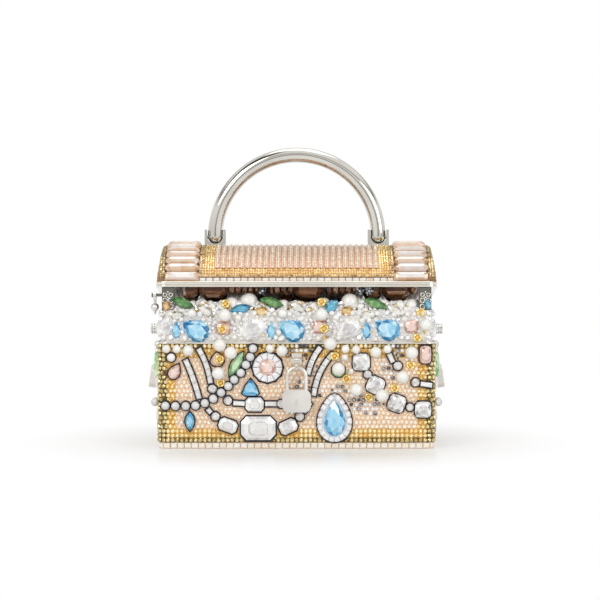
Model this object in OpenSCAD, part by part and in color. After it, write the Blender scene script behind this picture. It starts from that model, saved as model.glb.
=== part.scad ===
/* [Case] */
// Width of the case over its bead covering
case_w = 148; // [120:1:190]
// Depth of the case over its bead covering
case_d = 82; // [70:1:110]
// Height of the case
case_h = 56; // [48:1:75]
// Radius of the upright corners
corner_r = 5; // [4:0.5:8]
// Thickness of the bead covering
bead_t = 1.2; // [0.8:0.1:1.6]
// Thickness of the case and lid walls
wall_t = 1.6; // [1.2:0.1:2.2]
// Thickness of the lining
lining_t = 0.8; // [0.5:0.1:1.2]
// Height of the row of crystals round the foot
foot_h = 3.4; // [3:0.1:5]
// Pitch of the crystals round the foot
foot_pitch = 3.8; // [3:0.1:5]

/* [Collar] */
// Thickness of the polished rim on the case
rim_t = 1; // [0.8:0.1:1.5]
// Height of the collar that carries the jewel band
collar_h = 17; // [15:0.5:20]
// Distance of the collar from the face of the case
collar_inset = 2; // [1.5:0.1:3]
// Depth of the front shelf
shelf_d = 14; // [12:0.5:17]
// Depth of the side and rear shelves
shelf_side_d = 9; // [7:0.5:12]

/* [Lid] */
// Height of the lid's polished rim
lid_rim_h = 3; // [2.5:0.1:4]
// Distance by which the lid's rim stands past the case
lid_over = 1; // [0.8:0.1:2]
// Width of the lid's rim seen from below
lid_rim_w = 8; // [7:0.5:10]
// Height of the upright row at the foot of the lid
lid_row_h = 2.5; // [2:0.1:3.5]
// Rise of the arch
arch_rise = 21.4; // [18:0.1:26]
// Inward slope of each lid end
end_slope = 2.6; // [2:0.2:6]
// Height of the hinge axis above the top of the collar
hinge_up = 1; // [0.8:0.1:1.6]
// Tilt of the lid as it rests
lid_tilt = 7.6; // [7:0.1:9.5]

/* [Handle] */
// Radius of the handle's centreline
handle_r = 45; // [38:0.2:48]
// Diameter of the handle tube
tube_d = 8.2; // [6:0.1:9]
// Wall of the handle tube
tube_wall = 1.2; // [0.8:0.1:1.5]
// Thickness of a socket's prongs
prong_t = 1.4; // [1.2:0.1:2]
// Depth of a socket, front to back
socket_d = 8; // [7:0.5:10]
// Height of a socket's slot above the beads of the lid
slot_floor = 1; // [0.8:0.1:2]
// Diameter of the handle's cross pins
cross_pin_d = 2.4; // [2:0.1:2.8]

/* [Hinge] */
// Diameter of the hinge pin
hinge_pin_d = 2; // [1.6:0.1:2.2]
// Diameter of the knuckles
knuckle_d = 4.4; // [4:0.1:4.8]
// Length of one knuckle
knuckle_l = 12; // [9:0.5:15]

/* [Charms] */
// Width of a padlock body
lock_w = 15.2; // [13:0.2:17]
// Height of a padlock body
lock_h = 12.1; // [10:0.1:14]
// Thickness of a padlock body
lock_t = 3.6; // [3:0.1:4]
// Diameter of a shackle bar
shackle_d = 2; // [1.6:0.1:2.2]
// Height of a shackle above its body
shackle_h = 12.7; // [12:0.1:15]
// Diameter of a strap post
post_d = 5; // [4:0.1:6]
// Length of a strap post
post_l = 6.4; // [5:0.1:8]
// Outward lean of the side padlocks
side_lean = 8; // [7:0.5:10]

/* [Stones] */
// Height of a small stone above what it is bonded to
stone_h = 2; // [1.6:0.1:2.4]
// Height of a large stone of the band
band_stone_h = 3; // [2.4:0.1:3.6]
// Width of the dark outline round a setting
outline_w = 0.6; // [0.4:0.1:0.8]
// Thickness of the dark outline
outline_t = 0.5; // [0.4:0.1:0.7]
// Gap from a handle socket to the baguettes
seat_gap = 1.4; // [1:0.1:3]
// Pitch of the baguettes along the arch
baguette_pitch = 5.7; // [5:0.1:6.5]
// Height of the baguettes above the lid's shell
baguette_h = 3.8; // [2:0.1:5]
// Height of the ribs of beads above the rest of the lid's beads
rib_h = 0.5; // [0.3:0.1:1]

/* [Hidden] */
$fn = 48;
// Overrun of every cut
cut = 1;
// Gap between a pin and its bore
pin_gap = 0.05;
// Gap between moving faces
slip = 0.3;
// Gap between the closed lid and its rest posts
rest_gap = 0.15;

case_top = case_h + rim_t;
shelf_z = case_top + collar_h;
collar_w = case_w - 2 * collar_inset;
collar_d = case_d - 2 * collar_inset;
mouth_w = collar_w - 2 * shelf_side_d;
mouth_front = -collar_d / 2 + shelf_d;
mouth_back = collar_d / 2 - shelf_side_d;
lid_w = case_w + 2 * lid_over;
lid_d = case_d + 2 * lid_over;
hinge_clear = 0.8;
hinge_out = knuckle_d / 2 + hinge_clear;
hinge_y = lid_d / 2 + hinge_out;
hinge_z = shelf_z + hinge_up;
lid_mid = -hinge_y;
arch_chord = lid_d - 4 * lid_over;
arch_r = (arch_chord * arch_chord / 4 + arch_rise * arch_rise) / (2 * arch_rise);
arch_foot = lid_rim_h + lid_row_h;
ridge = arch_foot + arch_rise;
tube_r = tube_d / 2;
slot_r = tube_r + slip;
pivot_up = ridge + slot_r + slot_floor;

// Places are read from a front view: across and down, in picture units
mid_px = 296.5;
rim_span_px = 281.4;
foot_px = 449;
case_top_px = 344;
band_top_px = 310.4;
function face_x(u) = (u - mid_px) * lid_w / rim_span_px;
function face_z(v) = (foot_px - v) * case_h / (foot_px - case_top_px);
function band_z(v) = case_top + (case_top_px - v) * collar_h / (case_top_px - band_top_px);
function mm(n) = n * lid_w / rim_span_px;

// Outlines of stones, as shares of their length and width
octagon_shares = [[0.5, 0.26], [0.34, 0.5], [-0.34, 0.5], [-0.5, 0.26],
  [-0.5, -0.26], [-0.34, -0.5], [0.34, -0.5], [0.5, -0.26]];
cushion_shares = [[0.5, 0.3], [0.3, 0.5], [-0.3, 0.5], [-0.5, 0.3],
  [-0.5, -0.3], [-0.3, -0.5], [0.3, -0.5], [0.5, -0.3]];
marquise_shares = [[0.5, 0], [0.24, 0.38], [0, 0.5], [-0.24, 0.38],
  [-0.5, 0], [-0.24, -0.38], [0, -0.5], [0.24, -0.38]];
pear_shares = [[0.5, 0], [0.16, 0.38], [-0.14, 0.5], [-0.4, 0.34],
  [-0.5, 0], [-0.4, -0.34], [-0.14, -0.5], [0.16, -0.38]];
trillion_shares = [[0.5, 0], [0.1, 0.32], [-0.38, 0.5], [-0.5, 0.32], [-0.5, -0.32], [-0.38, -0.5],
  [0.1, -0.32]];
round_shares = [for (a = [22.5:45:359]) 0.5 * [cos(a), sin(a)]];
square_shares = [[0.5, 0.5], [-0.5, 0.5], [-0.5, -0.5], [0.5, -0.5]];
table_share = 0.62;
pearl_seat_share = 0.85;

// Outline of a stone at its real length and width
module outline(shares, l, w) polygon([for (p = shares) [p.x * l, p.y * w]]);

// A cut stone: flat back, sides sloping to a flat table
module stone(shares, l, w, h) linear_extrude(height = h, scale = table_share) outline(shares, l, w);

// A plain baguette, square to its back
module bar_stone(l, w, h) translate([-l / 2, -w / 2, 0]) cube([l, w, h]);

// A pearl with a flat where it is bonded
module pearl(r) intersection() {
  translate([0, 0, r * pearl_seat_share]) sphere(r);
  translate([-r, -r, 0]) cube([2 * r, 2 * r, 2 * r]);
}

// Turns a child that faces up so that it faces forward, at a place on the front
module on_front(u, v, turn = 0, out = 0)
  translate([face_x(u), -case_d / 2 - out, face_z(v)]) rotate([90, 0, 0]) rotate([0, 0, turn]) children();

// The same on the front of the collar
module on_band(u, v, turn = 0, out = 0)
  translate([face_x(u), -collar_d / 2 - out, band_z(v)]) rotate([90, 0, 0]) rotate([0, 0, turn])
    children();

// Carries children from the lid's own frame, hinge axis at its origin, to where the lid rests
module on_lid() translate([0, hinge_y, hinge_z]) rotate([-lid_tilt, 0, 0]) children();

module rounded_box(w, d, h, r) linear_extrude(height = h) rounded_rect(w, d, r);
module rounded_rect(w, d, r) union() {
  square([w - 2 * r, d], center = true);
  square([w, d - 2 * r], center = true);
  for (x = [-1, 1], y = [-1, 1]) translate([x * (w / 2 - r), y * (d / 2 - r)]) circle(r);
}

shell_w = case_w - 2 * bead_t;
shell_d = case_d - 2 * bead_t;
room_w = shell_w - 2 * wall_t;
room_d = shell_d - 2 * wall_t;
room_r = corner_r - bead_t - wall_t;

module case_shell() color("peru") difference() {
  rounded_box(shell_w, shell_d, case_h, corner_r - bead_t);
  translate([0, 0, wall_t]) rounded_box(room_w, room_d, case_h, room_r);
}

module case_lining() color("tan") difference() {
  translate([0, 0, wall_t]) rounded_box(room_w, room_d, case_h - wall_t, room_r);
  translate([0, 0, wall_t + lining_t])
    rounded_box(room_w - 2 * lining_t, room_d - 2 * lining_t, case_h, room_r - lining_t);
}

module case_bead_sheet() color("navajowhite") difference() {
  translate([0, 0, foot_h]) rounded_box(case_w, case_d, case_h - foot_h, corner_r);
  rounded_box(shell_w, shell_d, case_h + cut, corner_r - bead_t);
}

// Square crystals round the foot, held on a thin strip
foot_gap_share = 0.16;
foot_strip_share = 0.5;
foot_count = round(case_w / foot_pitch);
module foot_crystals() color("peachpuff") {
  difference() {
    rounded_box(shell_w + 2 * bead_t * foot_strip_share, shell_d + 2 * bead_t * foot_strip_share,
      foot_h, corner_r);
    translate([0, 0, -cut]) rounded_box(shell_w, shell_d, foot_h + 2 * cut, corner_r - bead_t);
  }
  run = case_w - 2 * corner_r;
  pitch = run / foot_count;
  for (s = [0, 180], i = [0:foot_count - 1]) rotate([0, 0, s])
    translate([-run / 2 + pitch * (i + 0.5), -case_d / 2 + bead_t * foot_strip_share / 2, foot_h / 2])
      cube([pitch * (1 - foot_gap_share), bead_t * foot_strip_share, foot_h * (1 - foot_gap_share)],
        center = true);
}

module case_rim() color("silver") translate([0, 0, case_h]) difference() {
  rounded_box(case_w, case_d, rim_t, corner_r);
  translate([0, 0, -cut]) rounded_box(room_w, room_d, rim_t + 2 * cut, room_r);
}

// The mouth through the collar, grown by a wall on each side
module mouth(grow) translate([-mouth_w / 2 - grow, mouth_front - grow, case_h])
  cube([mouth_w + 2 * grow, mouth_back - mouth_front + 2 * grow, collar_h + 2 * rim_t + cut]);

module collar() color("silver") difference() {
  translate([0, 0, case_top]) rounded_box(collar_w, collar_d, collar_h, corner_r - collar_inset);
  mouth(0);
  difference() {
    translate([0, 0, case_top - cut])
      rounded_box(collar_w - 2 * wall_t, collar_d - 2 * wall_t, collar_h + cut - wall_t, room_r -
        lining_t);
    mouth(wall_t);
  }
}

corner_post_w = 6.4;
corner_post_d = 5;
magnet_d = 3.6;
magnet_t = 1.5;
corner_post_x = collar_w / 2 - corner_post_w / 2;
corner_post_y = -collar_d / 2 + corner_post_d / 2;
// Where a place over the corner posts lies in the lid's own frame
magnet_y = (corner_post_y - hinge_y) / cos(lid_tilt);
peg_d = 1.6;
peg_l = 5.6;
peg_up = 8;
peg_z = shelf_z + peg_up;
peg_head_l = 0.6;
peg_head_d = 2.56;

module rest_posts() color("silver") {
  for (s = [-1, 1]) difference() {
    translate([s * corner_post_x - corner_post_w / 2, corner_post_y - corner_post_d / 2, shelf_z])
      cube([corner_post_w, corner_post_d, lid_d / 3]);
    on_lid() translate([-lid_w, -2 * lid_d, -rest_gap]) cube([2 * lid_w, 4 * lid_d, lid_d]);
    on_lid() translate([s * corner_post_x, magnet_y, -rest_gap - magnet_t]) cylinder(d = magnet_d, h =
      lid_d);
  }
  translate([-collar_w / 2, corner_post_y, peg_z]) rotate([0, -90, 0]) {
    cylinder(d = peg_d, h = peg_l);
    translate([0, 0, peg_l - peg_head_l]) cylinder(d = peg_head_d, h = peg_head_l);
  }
}

module rest_magnets() color("dimgray") for (s = [-1, 1])
  on_lid() translate([s * corner_post_x, magnet_y, -rest_gap - magnet_t]) cylinder(d = magnet_d, h =
    magnet_t);

module lid_magnets() color("dimgray") for (s = [-1, 1])
  on_lid() translate([s * corner_post_x, magnet_y, 0]) cylinder(d = magnet_d, h = magnet_t);

leaf_t = 1.2;
leaf_low = 10;
leaf_half = 2.5 * knuckle_l;
upper_leaf_t = 0.5;
knuckle_r = knuckle_d / 2;
// One knuckle along the hinge axis; n counts them from the left
module knuckle(n) translate([-leaf_half + n * knuckle_l + pin_gap, 0, 0]) rotate([0, 90, 0])
  difference() {
    cylinder(d = knuckle_d, h = knuckle_l - 2 * pin_gap);
    translate([0, 0, -cut]) cylinder(d = hinge_pin_d + 2 * pin_gap, h = knuckle_l + 2 * cut);
  }

module hinge_leaf_lower() color("silver") difference() {
  union() {
    translate([-leaf_half, case_d / 2, case_h - leaf_low])
      cube([2 * leaf_half, leaf_t, hinge_z - knuckle_r + leaf_t / 2 - case_h + leaf_low]);
    for (n = [0, 2, 4]) {
      translate([-leaf_half + n * knuckle_l + pin_gap, case_d / 2, hinge_z - knuckle_r - leaf_t / 2])
        cube([knuckle_l - 2 * pin_gap, hinge_y - case_d / 2, leaf_t]);
      translate([0, hinge_y, hinge_z]) knuckle(n);
    }
  }
  translate([-lid_w / 2, hinge_y, hinge_z]) rotate([0, 90, 0]) cylinder(d = hinge_pin_d + 2 * pin_gap, h
    = lid_w);
}

module hinge_leaf_upper() color("silver") on_lid() difference() {
  union() {
    translate([-leaf_half, -hinge_out, 0]) cube([2 * leaf_half, upper_leaf_t, lid_rim_h]);
    for (n = [1, 3]) {
      translate([-leaf_half + n * knuckle_l + pin_gap, -hinge_out, knuckle_r - leaf_t])
        cube([knuckle_l - 2 * pin_gap, hinge_out, leaf_t]);
      knuckle(n);
    }
  }
  translate([-lid_w / 2, 0, 0]) rotate([0, 90, 0]) cylinder(d = hinge_pin_d + 2 * pin_gap, h = lid_w);
}

module hinge_pin() color("silver") translate([-leaf_half, hinge_y, hinge_z]) rotate([0, 90, 0])
  cylinder(d = hinge_pin_d, h = 2 * leaf_half);

// Section of the lid above its rim, drawn in by a wall
module arch_area(inset) intersection() {
  translate([lid_mid, ridge - arch_r]) circle(arch_r - inset, $fn = 96);
  translate([lid_mid - arch_chord / 2 + inset, lid_rim_h]) square([arch_chord - 2 * inset, ridge]);
}
end_foot = lid_w / 2 - lid_over / 2;
end_top = lid_w / 2 - end_slope;
module lid_form(inset) intersection() {
  translate([-lid_w / 2, 0, 0]) rotate([90, 0, 90]) linear_extrude(height = lid_w) arch_area(inset);
  rotate([90, 0, 0]) linear_extrude(height = 2 * lid_d) polygon([
    [-end_foot + inset, lid_rim_h], [end_foot - inset, lid_rim_h],
    [end_top - inset, ridge], [-end_top + inset, ridge]]);
}

bay_edge = 1.7;
bay_out = end_top - bay_edge;
stud_d = 3;
seat_w = 2 * (slot_r + prong_t);
bay_in = handle_r + seat_w / 2 + seat_gap;
baguette_l = bay_out - bay_in;
module lid_shell() color("peru") on_lid() difference() {
  lid_form(bead_t);
  lid_form(bead_t + wall_t);
  for (s = [-1, 1]) translate([s * handle_r, lid_mid, ridge - lid_rim_h]) cylinder(d = stud_d + 2 *
    pin_gap, h = ridge);
}

// Ribs of beads run over the arch between two borders of smaller beads. Each is a strip of its own,
// flat from step to step, that rests on the sheet with a film of glue
rib_count = 27;
rib_border = 7.9;
rib_border_foot = 6.2;
rib_w_share = 0.62;
rib_glue = 0.02;
rib_steps = 12;
rib_pitch = 2 * (bay_in - rib_border) / rib_count;
rib_angle = asin(arch_chord / 2 / arch_r) - rib_border_foot / arch_r * 180 / PI;
rib_under = (arch_r + rib_glue) / cos(rib_angle / rib_steps);
function rib_point(r, k) = r * [sin(rib_angle * (2 * k / rib_steps - 1)),
  cos(rib_angle * (2 * k / rib_steps - 1))];
module lid_ribs() for (n = [0:rib_count - 1])
  translate([rib_border - bay_in + rib_pitch * (n + 0.5 - rib_w_share / 2), lid_mid, ridge - arch_r])
    rotate([90, 0, 90]) linear_extrude(height = rib_pitch * rib_w_share) polygon(concat(
      [for (k = [0:rib_steps]) rib_point(arch_r + rib_h, k)],
      [for (k = [rib_steps:-1:0]) rib_point(rib_under, k)]));

module lid_bead_sheet() color("navajowhite") on_lid() difference() {
  union() {
    lid_form(0);
    lid_ribs();
  }
  lid_form(bead_t);
  for (s = [-1, 1]) {
    translate([s * (bay_in + bay_out) / 2 - baguette_l / 2, -2 * lid_d, 0]) cube([baguette_l, 3 * lid_d,
      2 * ridge]);
    translate([s * handle_r - seat_w / 2, lid_mid - socket_d / 2, ridge - lid_rim_h]) cube([seat_w,
      socket_d, ridge]);
  }
  translate([-bay_in, -2 * lid_d, 0]) cube([2 * bay_in, 3 * lid_d, arch_foot]);
}

// Angle spanned by half of the arch, on the shell that carries the baguettes
bay_r = arch_r - bead_t;
half_arch = asin((arch_chord / 2 - bead_t) / bay_r);
step_angle = baguette_pitch / bay_r * 180 / PI;
baguettes_each_side = round(half_arch / step_angle - 1);
baguette_w_share = 0.9;
baguette_top_share = 0.55;
// One large baguette, its back on the shell and its long side along the lid
module lid_baguette() rotate([90, 0, 90]) translate([0, 0, -baguette_l / 2 + pin_gap])
  linear_extrude(height = baguette_l - 2 * pin_gap) polygon([for (p = [[-0.5, 0], [0.5, 0], [0.5, 0.35],
    [baguette_top_share / 2, 1], [-baguette_top_share / 2, 1], [-0.5, 0.35]])
    [p.x * baguette_pitch * baguette_w_share, p.y * baguette_h]]);

// The lowest bar of each stack stands on the rim and follows the shell up to the first baguette
foot_bar_t = 2.8;
foot_bar_angle = (baguettes_each_side + 0.5) * step_angle;
module foot_bar_area(side) translate([lid_mid, ridge - arch_r]) difference() {
  intersection() {
    translate([-lid_mid, arch_r - ridge]) arch_area(bead_t - foot_bar_t);
    polygon([[0, 0], 2 * arch_r * [side * sin(foot_bar_angle), cos(foot_bar_angle)],
      2 * arch_r * [side, cos(foot_bar_angle)], 2 * arch_r * [side, 0]]);
  }
  translate([-lid_mid, arch_r - ridge]) arch_area(bead_t);
}

module lid_baguettes() color("bisque") on_lid() for (s = [-1, 1]) {
  x = s * (bay_in + bay_out) / 2;
  for (n = [-baguettes_each_side:baguettes_each_side])
    translate([x, lid_mid, ridge - arch_r]) rotate([n * step_angle, 0, 0]) translate([0, 0, bay_r])
      lid_baguette();
  for (side = [-1, 1]) translate([x - baguette_l / 2 + pin_gap, 0, 0]) rotate([90, 0, 90])
    linear_extrude(height = baguette_l - 2 * pin_gap) foot_bar_area(side);
}

row_count = 28;
row_gap_share = 0.14;
module lid_row_crystals() color("mistyrose") on_lid() {
  pitch = 2 * bay_in / row_count;
  for (s = [-1, 1], n = [0:row_count - 1])
    translate([-bay_in + pitch * (n + row_gap_share / 2), lid_mid + s * (arch_chord / 2 - bead_t / 2) -
      bead_t / 2,
      lid_rim_h]) cube([pitch * (1 - row_gap_share), bead_t, lid_row_h * (1 - row_gap_share)]);
}

module lid_rim() color("silver") on_lid() difference() {
  translate([0, lid_mid, 0]) rounded_box(lid_w, lid_d, lid_rim_h, corner_r);
  translate([-lid_w / 2 + lid_rim_w, lid_mid - lid_d / 2 + lid_rim_w, -cut])
    cube([lid_w - 2 * lid_rim_w, lid_d - 2 * lid_rim_w, lid_rim_h + 2 * cut]);
  for (s = [-1, 1]) translate([s * corner_post_x, magnet_y, -cut]) cylinder(d = magnet_d, h = magnet_t +
    cut);
}

plate_t = 1.2;
module lid_inner_plate() color("gray") on_lid()
  translate([-lid_w / 2 + lid_rim_w, lid_mid - lid_d / 2 + lid_rim_w, 0])
    cube([lid_w - 2 * lid_rim_w, lid_d - 2 * lid_rim_w, plate_t]);

smoky_h = 4.2;
smoky_w = 9;
// Each smoky stone: across in picture units, length in picture units
smoky_front_px = [[189, 15], [212, 28], [308, 28], [374, 14], [397, 28]];
smoky_back_px = [[188, 17], [212, 27], [285, 14], [307, 26], [374, 18], [399, 26]];
smoky_front_share = 0.31;
smoky_back_share = 0.05;
smoky_rows = [[smoky_front_px, lid_mid - lid_d * smoky_front_share],
  [smoky_back_px, lid_mid - lid_d * smoky_back_share]];
module lid_smoky_octagons() color("saddlebrown") on_lid() for (row = smoky_rows, p = row[0])
  translate([face_x(p[0]), row[1], 0]) rotate([180, 0, 0]) stone(octagon_shares, mm(p[1]), smoky_w,
    smoky_h);

// A socket in the lid's frame: a block with a round-bottomed slot, and a stud through the shell
socket_up = 3.4;
nut_d = 6;
nut_t = 2;
module handle_sockets() color("silver") on_lid() for (s = [-1, 1]) translate([s * handle_r, lid_mid, 0]) {
  difference() {
    translate([-seat_w / 2, -socket_d / 2, ridge - bead_t])
      cube([seat_w, socket_d, pivot_up + socket_up - ridge + bead_t]);
    translate([0, 0, pivot_up]) rotate([90, 0, 0]) translate([0, 0, -socket_d]) {
      cylinder(r = slot_r, h = 2 * socket_d);
      translate([-slot_r, 0, 0]) cube([2 * slot_r, 2 * slot_r, 2 * socket_d]);
    }
    translate([-seat_w, 0, pivot_up]) rotate([0, 90, 0]) cylinder(d = cross_pin_d, h = 2 * seat_w);
  }
  translate([0, 0, ridge - bead_t - wall_t - slip - nut_t]) cylinder(d = stud_d, h = wall_t + slip +
    nut_t);
}

module socket_nuts() color("gray") on_lid() for (s = [-1, 1])
  translate([s * handle_r, lid_mid, ridge - bead_t - wall_t - slip - nut_t]) difference() {
    cylinder(d = nut_d, h = nut_t, $fn = 6);
    translate([0, 0, -cut]) cylinder(d = stud_d, h = nut_t + 2 * cut);
  }

module handle_pins() color("silver") on_lid() for (s = [-1, 1])
  translate([s * handle_r - seat_w / 2, lid_mid, pivot_up]) rotate([0, 90, 0]) cylinder(d = cross_pin_d,
    h = seat_w);

pivot_y = hinge_y + lid_mid * cos(lid_tilt) + pivot_up * sin(lid_tilt);
pivot_z = hinge_z - lid_mid * sin(lid_tilt) + pivot_up * cos(lid_tilt);
module handle() color("silver") translate([0, pivot_y, pivot_z]) difference() {
  union() {
    rotate([90, 0, 0]) rotate_extrude(angle = 180, $fn = 96) translate([handle_r, 0]) difference() {
      circle(r = tube_r);
      circle(r = tube_r - tube_wall);
    }
    for (s = [-1, 1]) translate([s * handle_r, 0, 0]) sphere(r = tube_r);
  }
  translate([-lid_w, 0, 0]) rotate([0, 90, 0]) cylinder(d = cross_pin_d + 2 * pin_gap, h = 2 * lid_w);
}

// Strap posts: a neck and a head on each side of the collar
post_up = 5.2;
post_z = case_top + post_up;
neck_share = 0.68;
module strap_post(s) translate([s * collar_w / 2, 0, post_z]) rotate([0, s * 90, 0]) {
  cylinder(d = post_d * neck_share, h = collar_inset + post_l);
  translate([0, 0, collar_inset]) cylinder(d = post_d, h = post_l);
}
module strap_post_left() color("silver") strap_post(-1);
module strap_post_right() color("silver") strap_post(1);

// Padlocks hang with the middle of the shackle's top bar at the origin
shackle_r = shackle_d / 2;
shackle_edge = 1.6;
shackle_bend = lock_w / 2 - shackle_r - shackle_edge;
lock_top = -(shackle_h - shackle_r);
leg_in = lock_h / 3;
lock_corner_share = 0.3;
keyhole_share = 0.16;
keyhole_deep_share = 0.25;
module lock_shackle() translate([0, 0, -shackle_bend]) {
  rotate([90, 0, 0]) rotate_extrude(angle = 180) translate([shackle_bend, 0]) circle(r = shackle_r);
  for (s = [-1, 1]) translate([s * shackle_bend, 0, lock_top + shackle_bend - leg_in])
    cylinder(r = shackle_r, h = -lock_top - shackle_bend + leg_in);
}
module lock_body(bore) difference() {
  translate([0, lock_t / 2, lock_top - lock_h / 2]) rotate([90, 0, 0])
    linear_extrude(height = lock_t) rounded_rect(lock_w, lock_h, lock_h * lock_corner_share);
  for (s = [-1, 1]) translate([s * shackle_bend, 0, lock_top - leg_in]) cylinder(r = bore, h = leg_in +
    cut);
  for (s = [-1, 1]) translate([0, s * (lock_t / 2 - lock_t * keyhole_deep_share / 2), lock_top - lock_h
    / 2])
    rotate([90, 0, 0]) {
      cylinder(d = lock_h * keyhole_share, h = lock_t * keyhole_deep_share + pin_gap, center = true);
      translate([-lock_h * keyhole_share / 4, -lock_h / 4, -lock_t * keyhole_deep_share / 2 - pin_gap / 2])
        cube([lock_h * keyhole_share / 2, lock_h / 4, lock_t * keyhole_deep_share + pin_gap]);
    }
}

charm_out = outline_t + stone_h + 2 * slip + lock_t / 2;
charm_y = -case_d / 2 - charm_out;
bail_px = 360.5;
bail_z = face_z(bail_px);
ring_gap = 0.35;
ring_t = 1;
ring_wall = 0.9;
ring_out = shackle_r + ring_gap + ring_wall;
shackle_top_px = 367;
ring_z = face_z(shackle_top_px);
bail_pin_d = 1.2;
bail_eye_d = 3;
bail_eye_w = 3;
staple_t = 0.9;
staple_h = 2.6;
module front_staple() color("silver") {
  translate([-bail_eye_w / 2 - slip - staple_t, -case_d / 2 - staple_t, bail_z - staple_h / 2])
    cube([bail_eye_w + 2 * slip + 2 * staple_t, staple_t, 2 * staple_h]);
  for (s = [-1, 1]) translate([s * (bail_eye_w / 2 + slip + staple_t / 2) - staple_t / 2, charm_y -
    staple_h / 2,
    bail_z - staple_h / 2]) cube([staple_t, charm_out + staple_h / 2, staple_h]);
  translate([-bail_eye_w / 2 - slip, charm_y, bail_z]) rotate([0, 90, 0])
    cylinder(d = bail_pin_d, h = bail_eye_w + 2 * slip);
}

module front_bail() color("gainsboro") difference() {
  union() {
    translate([-bail_eye_w / 2, charm_y, bail_z]) rotate([0, 90, 0]) cylinder(d = bail_eye_d, h =
      bail_eye_w);
    translate([-ring_t / 2, charm_y, ring_z]) rotate([0, 90, 0]) cylinder(r = ring_out, h = ring_t);
    translate([-ring_t / 2, charm_y - ring_wall, ring_z]) cube([ring_t, 2 * ring_wall, bail_z - ring_z]);
  }
  translate([-bail_eye_w, charm_y, bail_z]) rotate([0, 90, 0])
    cylinder(d = bail_pin_d + 2 * pin_gap, h = 2 * bail_eye_w);
  translate([-bail_eye_w, charm_y, ring_z]) rotate([0, 90, 0])
    cylinder(r = shackle_r + ring_gap, h = 2 * bail_eye_w);
}

module front_padlock_body() color("gainsboro") translate([0, charm_y, ring_z]) lock_body(shackle_r);
module front_padlock_shackle() color("gainsboro") translate([0, charm_y, ring_z]) lock_shackle();

side_pivot_out = ring_out;
side_pivot_z = case_h - ring_out;
module side_staples() color("silver") for (s = [-1, 1])
  translate([s * (case_w / 2 + side_pivot_out), ring_t / 2, side_pivot_z]) rotate([90, 0, 0])
    difference() {
    cylinder(r = ring_out, h = ring_t);
    translate([0, 0, -cut]) cylinder(r = shackle_r + ring_gap, h = ring_t + 2 * cut);
  }
module side_padlock(s) translate([s * (case_w / 2 + side_pivot_out), 0, side_pivot_z])
  rotate([0, -s * side_lean, 0]) rotate([0, 0, 90]) {
    lock_shackle();
    lock_body(0);
  }
module left_padlock() color("gainsboro") side_padlock(-1);
module right_padlock() color("gainsboro") side_padlock(1);

clasp_t = 1.6;
clasp_d = 5;
clasp_belly_d = 4.4;
clasp_drop = 6.5;
clasp_tip = 10.4;
clasp_tip_share = 0.8;
clasp_x = -collar_w / 2 - peg_l + peg_head_l + slip + clasp_t / 2;
module left_clasp_charm() color("gainsboro") translate([clasp_x, corner_post_y, peg_z]) {
  difference() {
    translate([-clasp_t / 2, 0, -clasp_d / 2 + peg_d]) rotate([0, 90, 0]) cylinder(d = clasp_d, h =
      clasp_t);
    translate([-clasp_t, 0, 0]) rotate([0, 90, 0]) cylinder(d = peg_d + 2 * pin_gap, h = 2 * clasp_t);
  }
  translate([0, 0, -clasp_drop]) {
    cylinder(d = clasp_t, h = clasp_drop - clasp_d / 2);
    sphere(d = clasp_belly_d);
    translate([0, 0, clasp_drop - clasp_tip]) cylinder(d1 = peg_d / 2, d2 = clasp_belly_d *
      clasp_tip_share, h = clasp_tip - clasp_drop);
  }
}

// The stones of the jewel band go round: front and rear alike, the rear ones clear of the hinge
large_stone_px = 34;
function clear_of_hinge(u) = abs(face_x(u)) > leaf_half + mm(large_stone_px / 2);
module band_stones(list, shape, h, all_round = true) {
  for (p = list) on_band(p[0], p[1], p[4]) stone(shape, mm(p[2]), mm(p[3]), h);
  if (all_round) rotate([0, 0, 180]) for (p = list) if (clear_of_hinge(p[0]))
    on_band(p[0], p[1], p[4]) stone(shape, mm(p[2]), mm(p[3]), h);
}
// Places along a side of the collar or the case: back is positive, up from the case's top
module on_side(s, y, z, inset, turn = 0)
  translate([s * (case_w / 2 - inset), y, z]) rotate([90, 0, s * 90]) rotate([0, 0, turn]) children();
side_band_share = 0.42;
side_mid_share = 0.24;
side_near_share = 0.1;
side_row_px = 331;
side_pear_row_px = 328.6;
side_pear_turn = 40;
side_oval_px = [22, 14];
// Each stone: across, down, length, width in picture units, turn in degrees
pears_px = [[195, 331, 29.5, 22, 150], [291, 331, 28, 22, 150], [387, 330, 27, 22, 150]];
ovals_px = [[252.5, 331, 28, 22, 30], [349, 331, 26, 20, 30], [166, 328, 19, 12, 90]];
marquises_px = [[176.3, 332, 17.4, 6.8, 90], [271, 332.7, 17.4, 6.8, 90], [366.8, 332.7, 17.4, 6.8, 90]];
squares_at = [0, 38, 142, 180];
cushions_px = [[223.4, 329.6, 14.4, 13.4, 0, squares_at], [319.6, 328, 14, 13.4, 0, squares_at],
  [411.6, 327.8, 13.4, 13.4, 0, []]];
square_px = 4.3;
square_ring_px = 10.8;
module band_blue_pears() color("skyblue") {
  band_stones(pears_px, pear_shares, band_stone_h);
  for (s = [-1, 1], y = [-1, 1]) on_side(s, y * collar_d * side_mid_share, band_z(side_pear_row_px),
    collar_inset, 90 - y * s * (90 - side_pear_turn))
    stone(pear_shares, mm(pears_px[0][2]), mm(pears_px[0][3]), band_stone_h);
}
module band_white_ovals() color("white") {
  band_stones(ovals_px, round_shares, band_stone_h);
  for (s = [-1, 1], y = [-1, 1]) on_side(s, y * collar_d * side_band_share, band_z(side_row_px),
    collar_inset, 90)
    stone(round_shares, mm(side_oval_px[0]), mm(side_oval_px[1]), band_stone_h);
}
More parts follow.
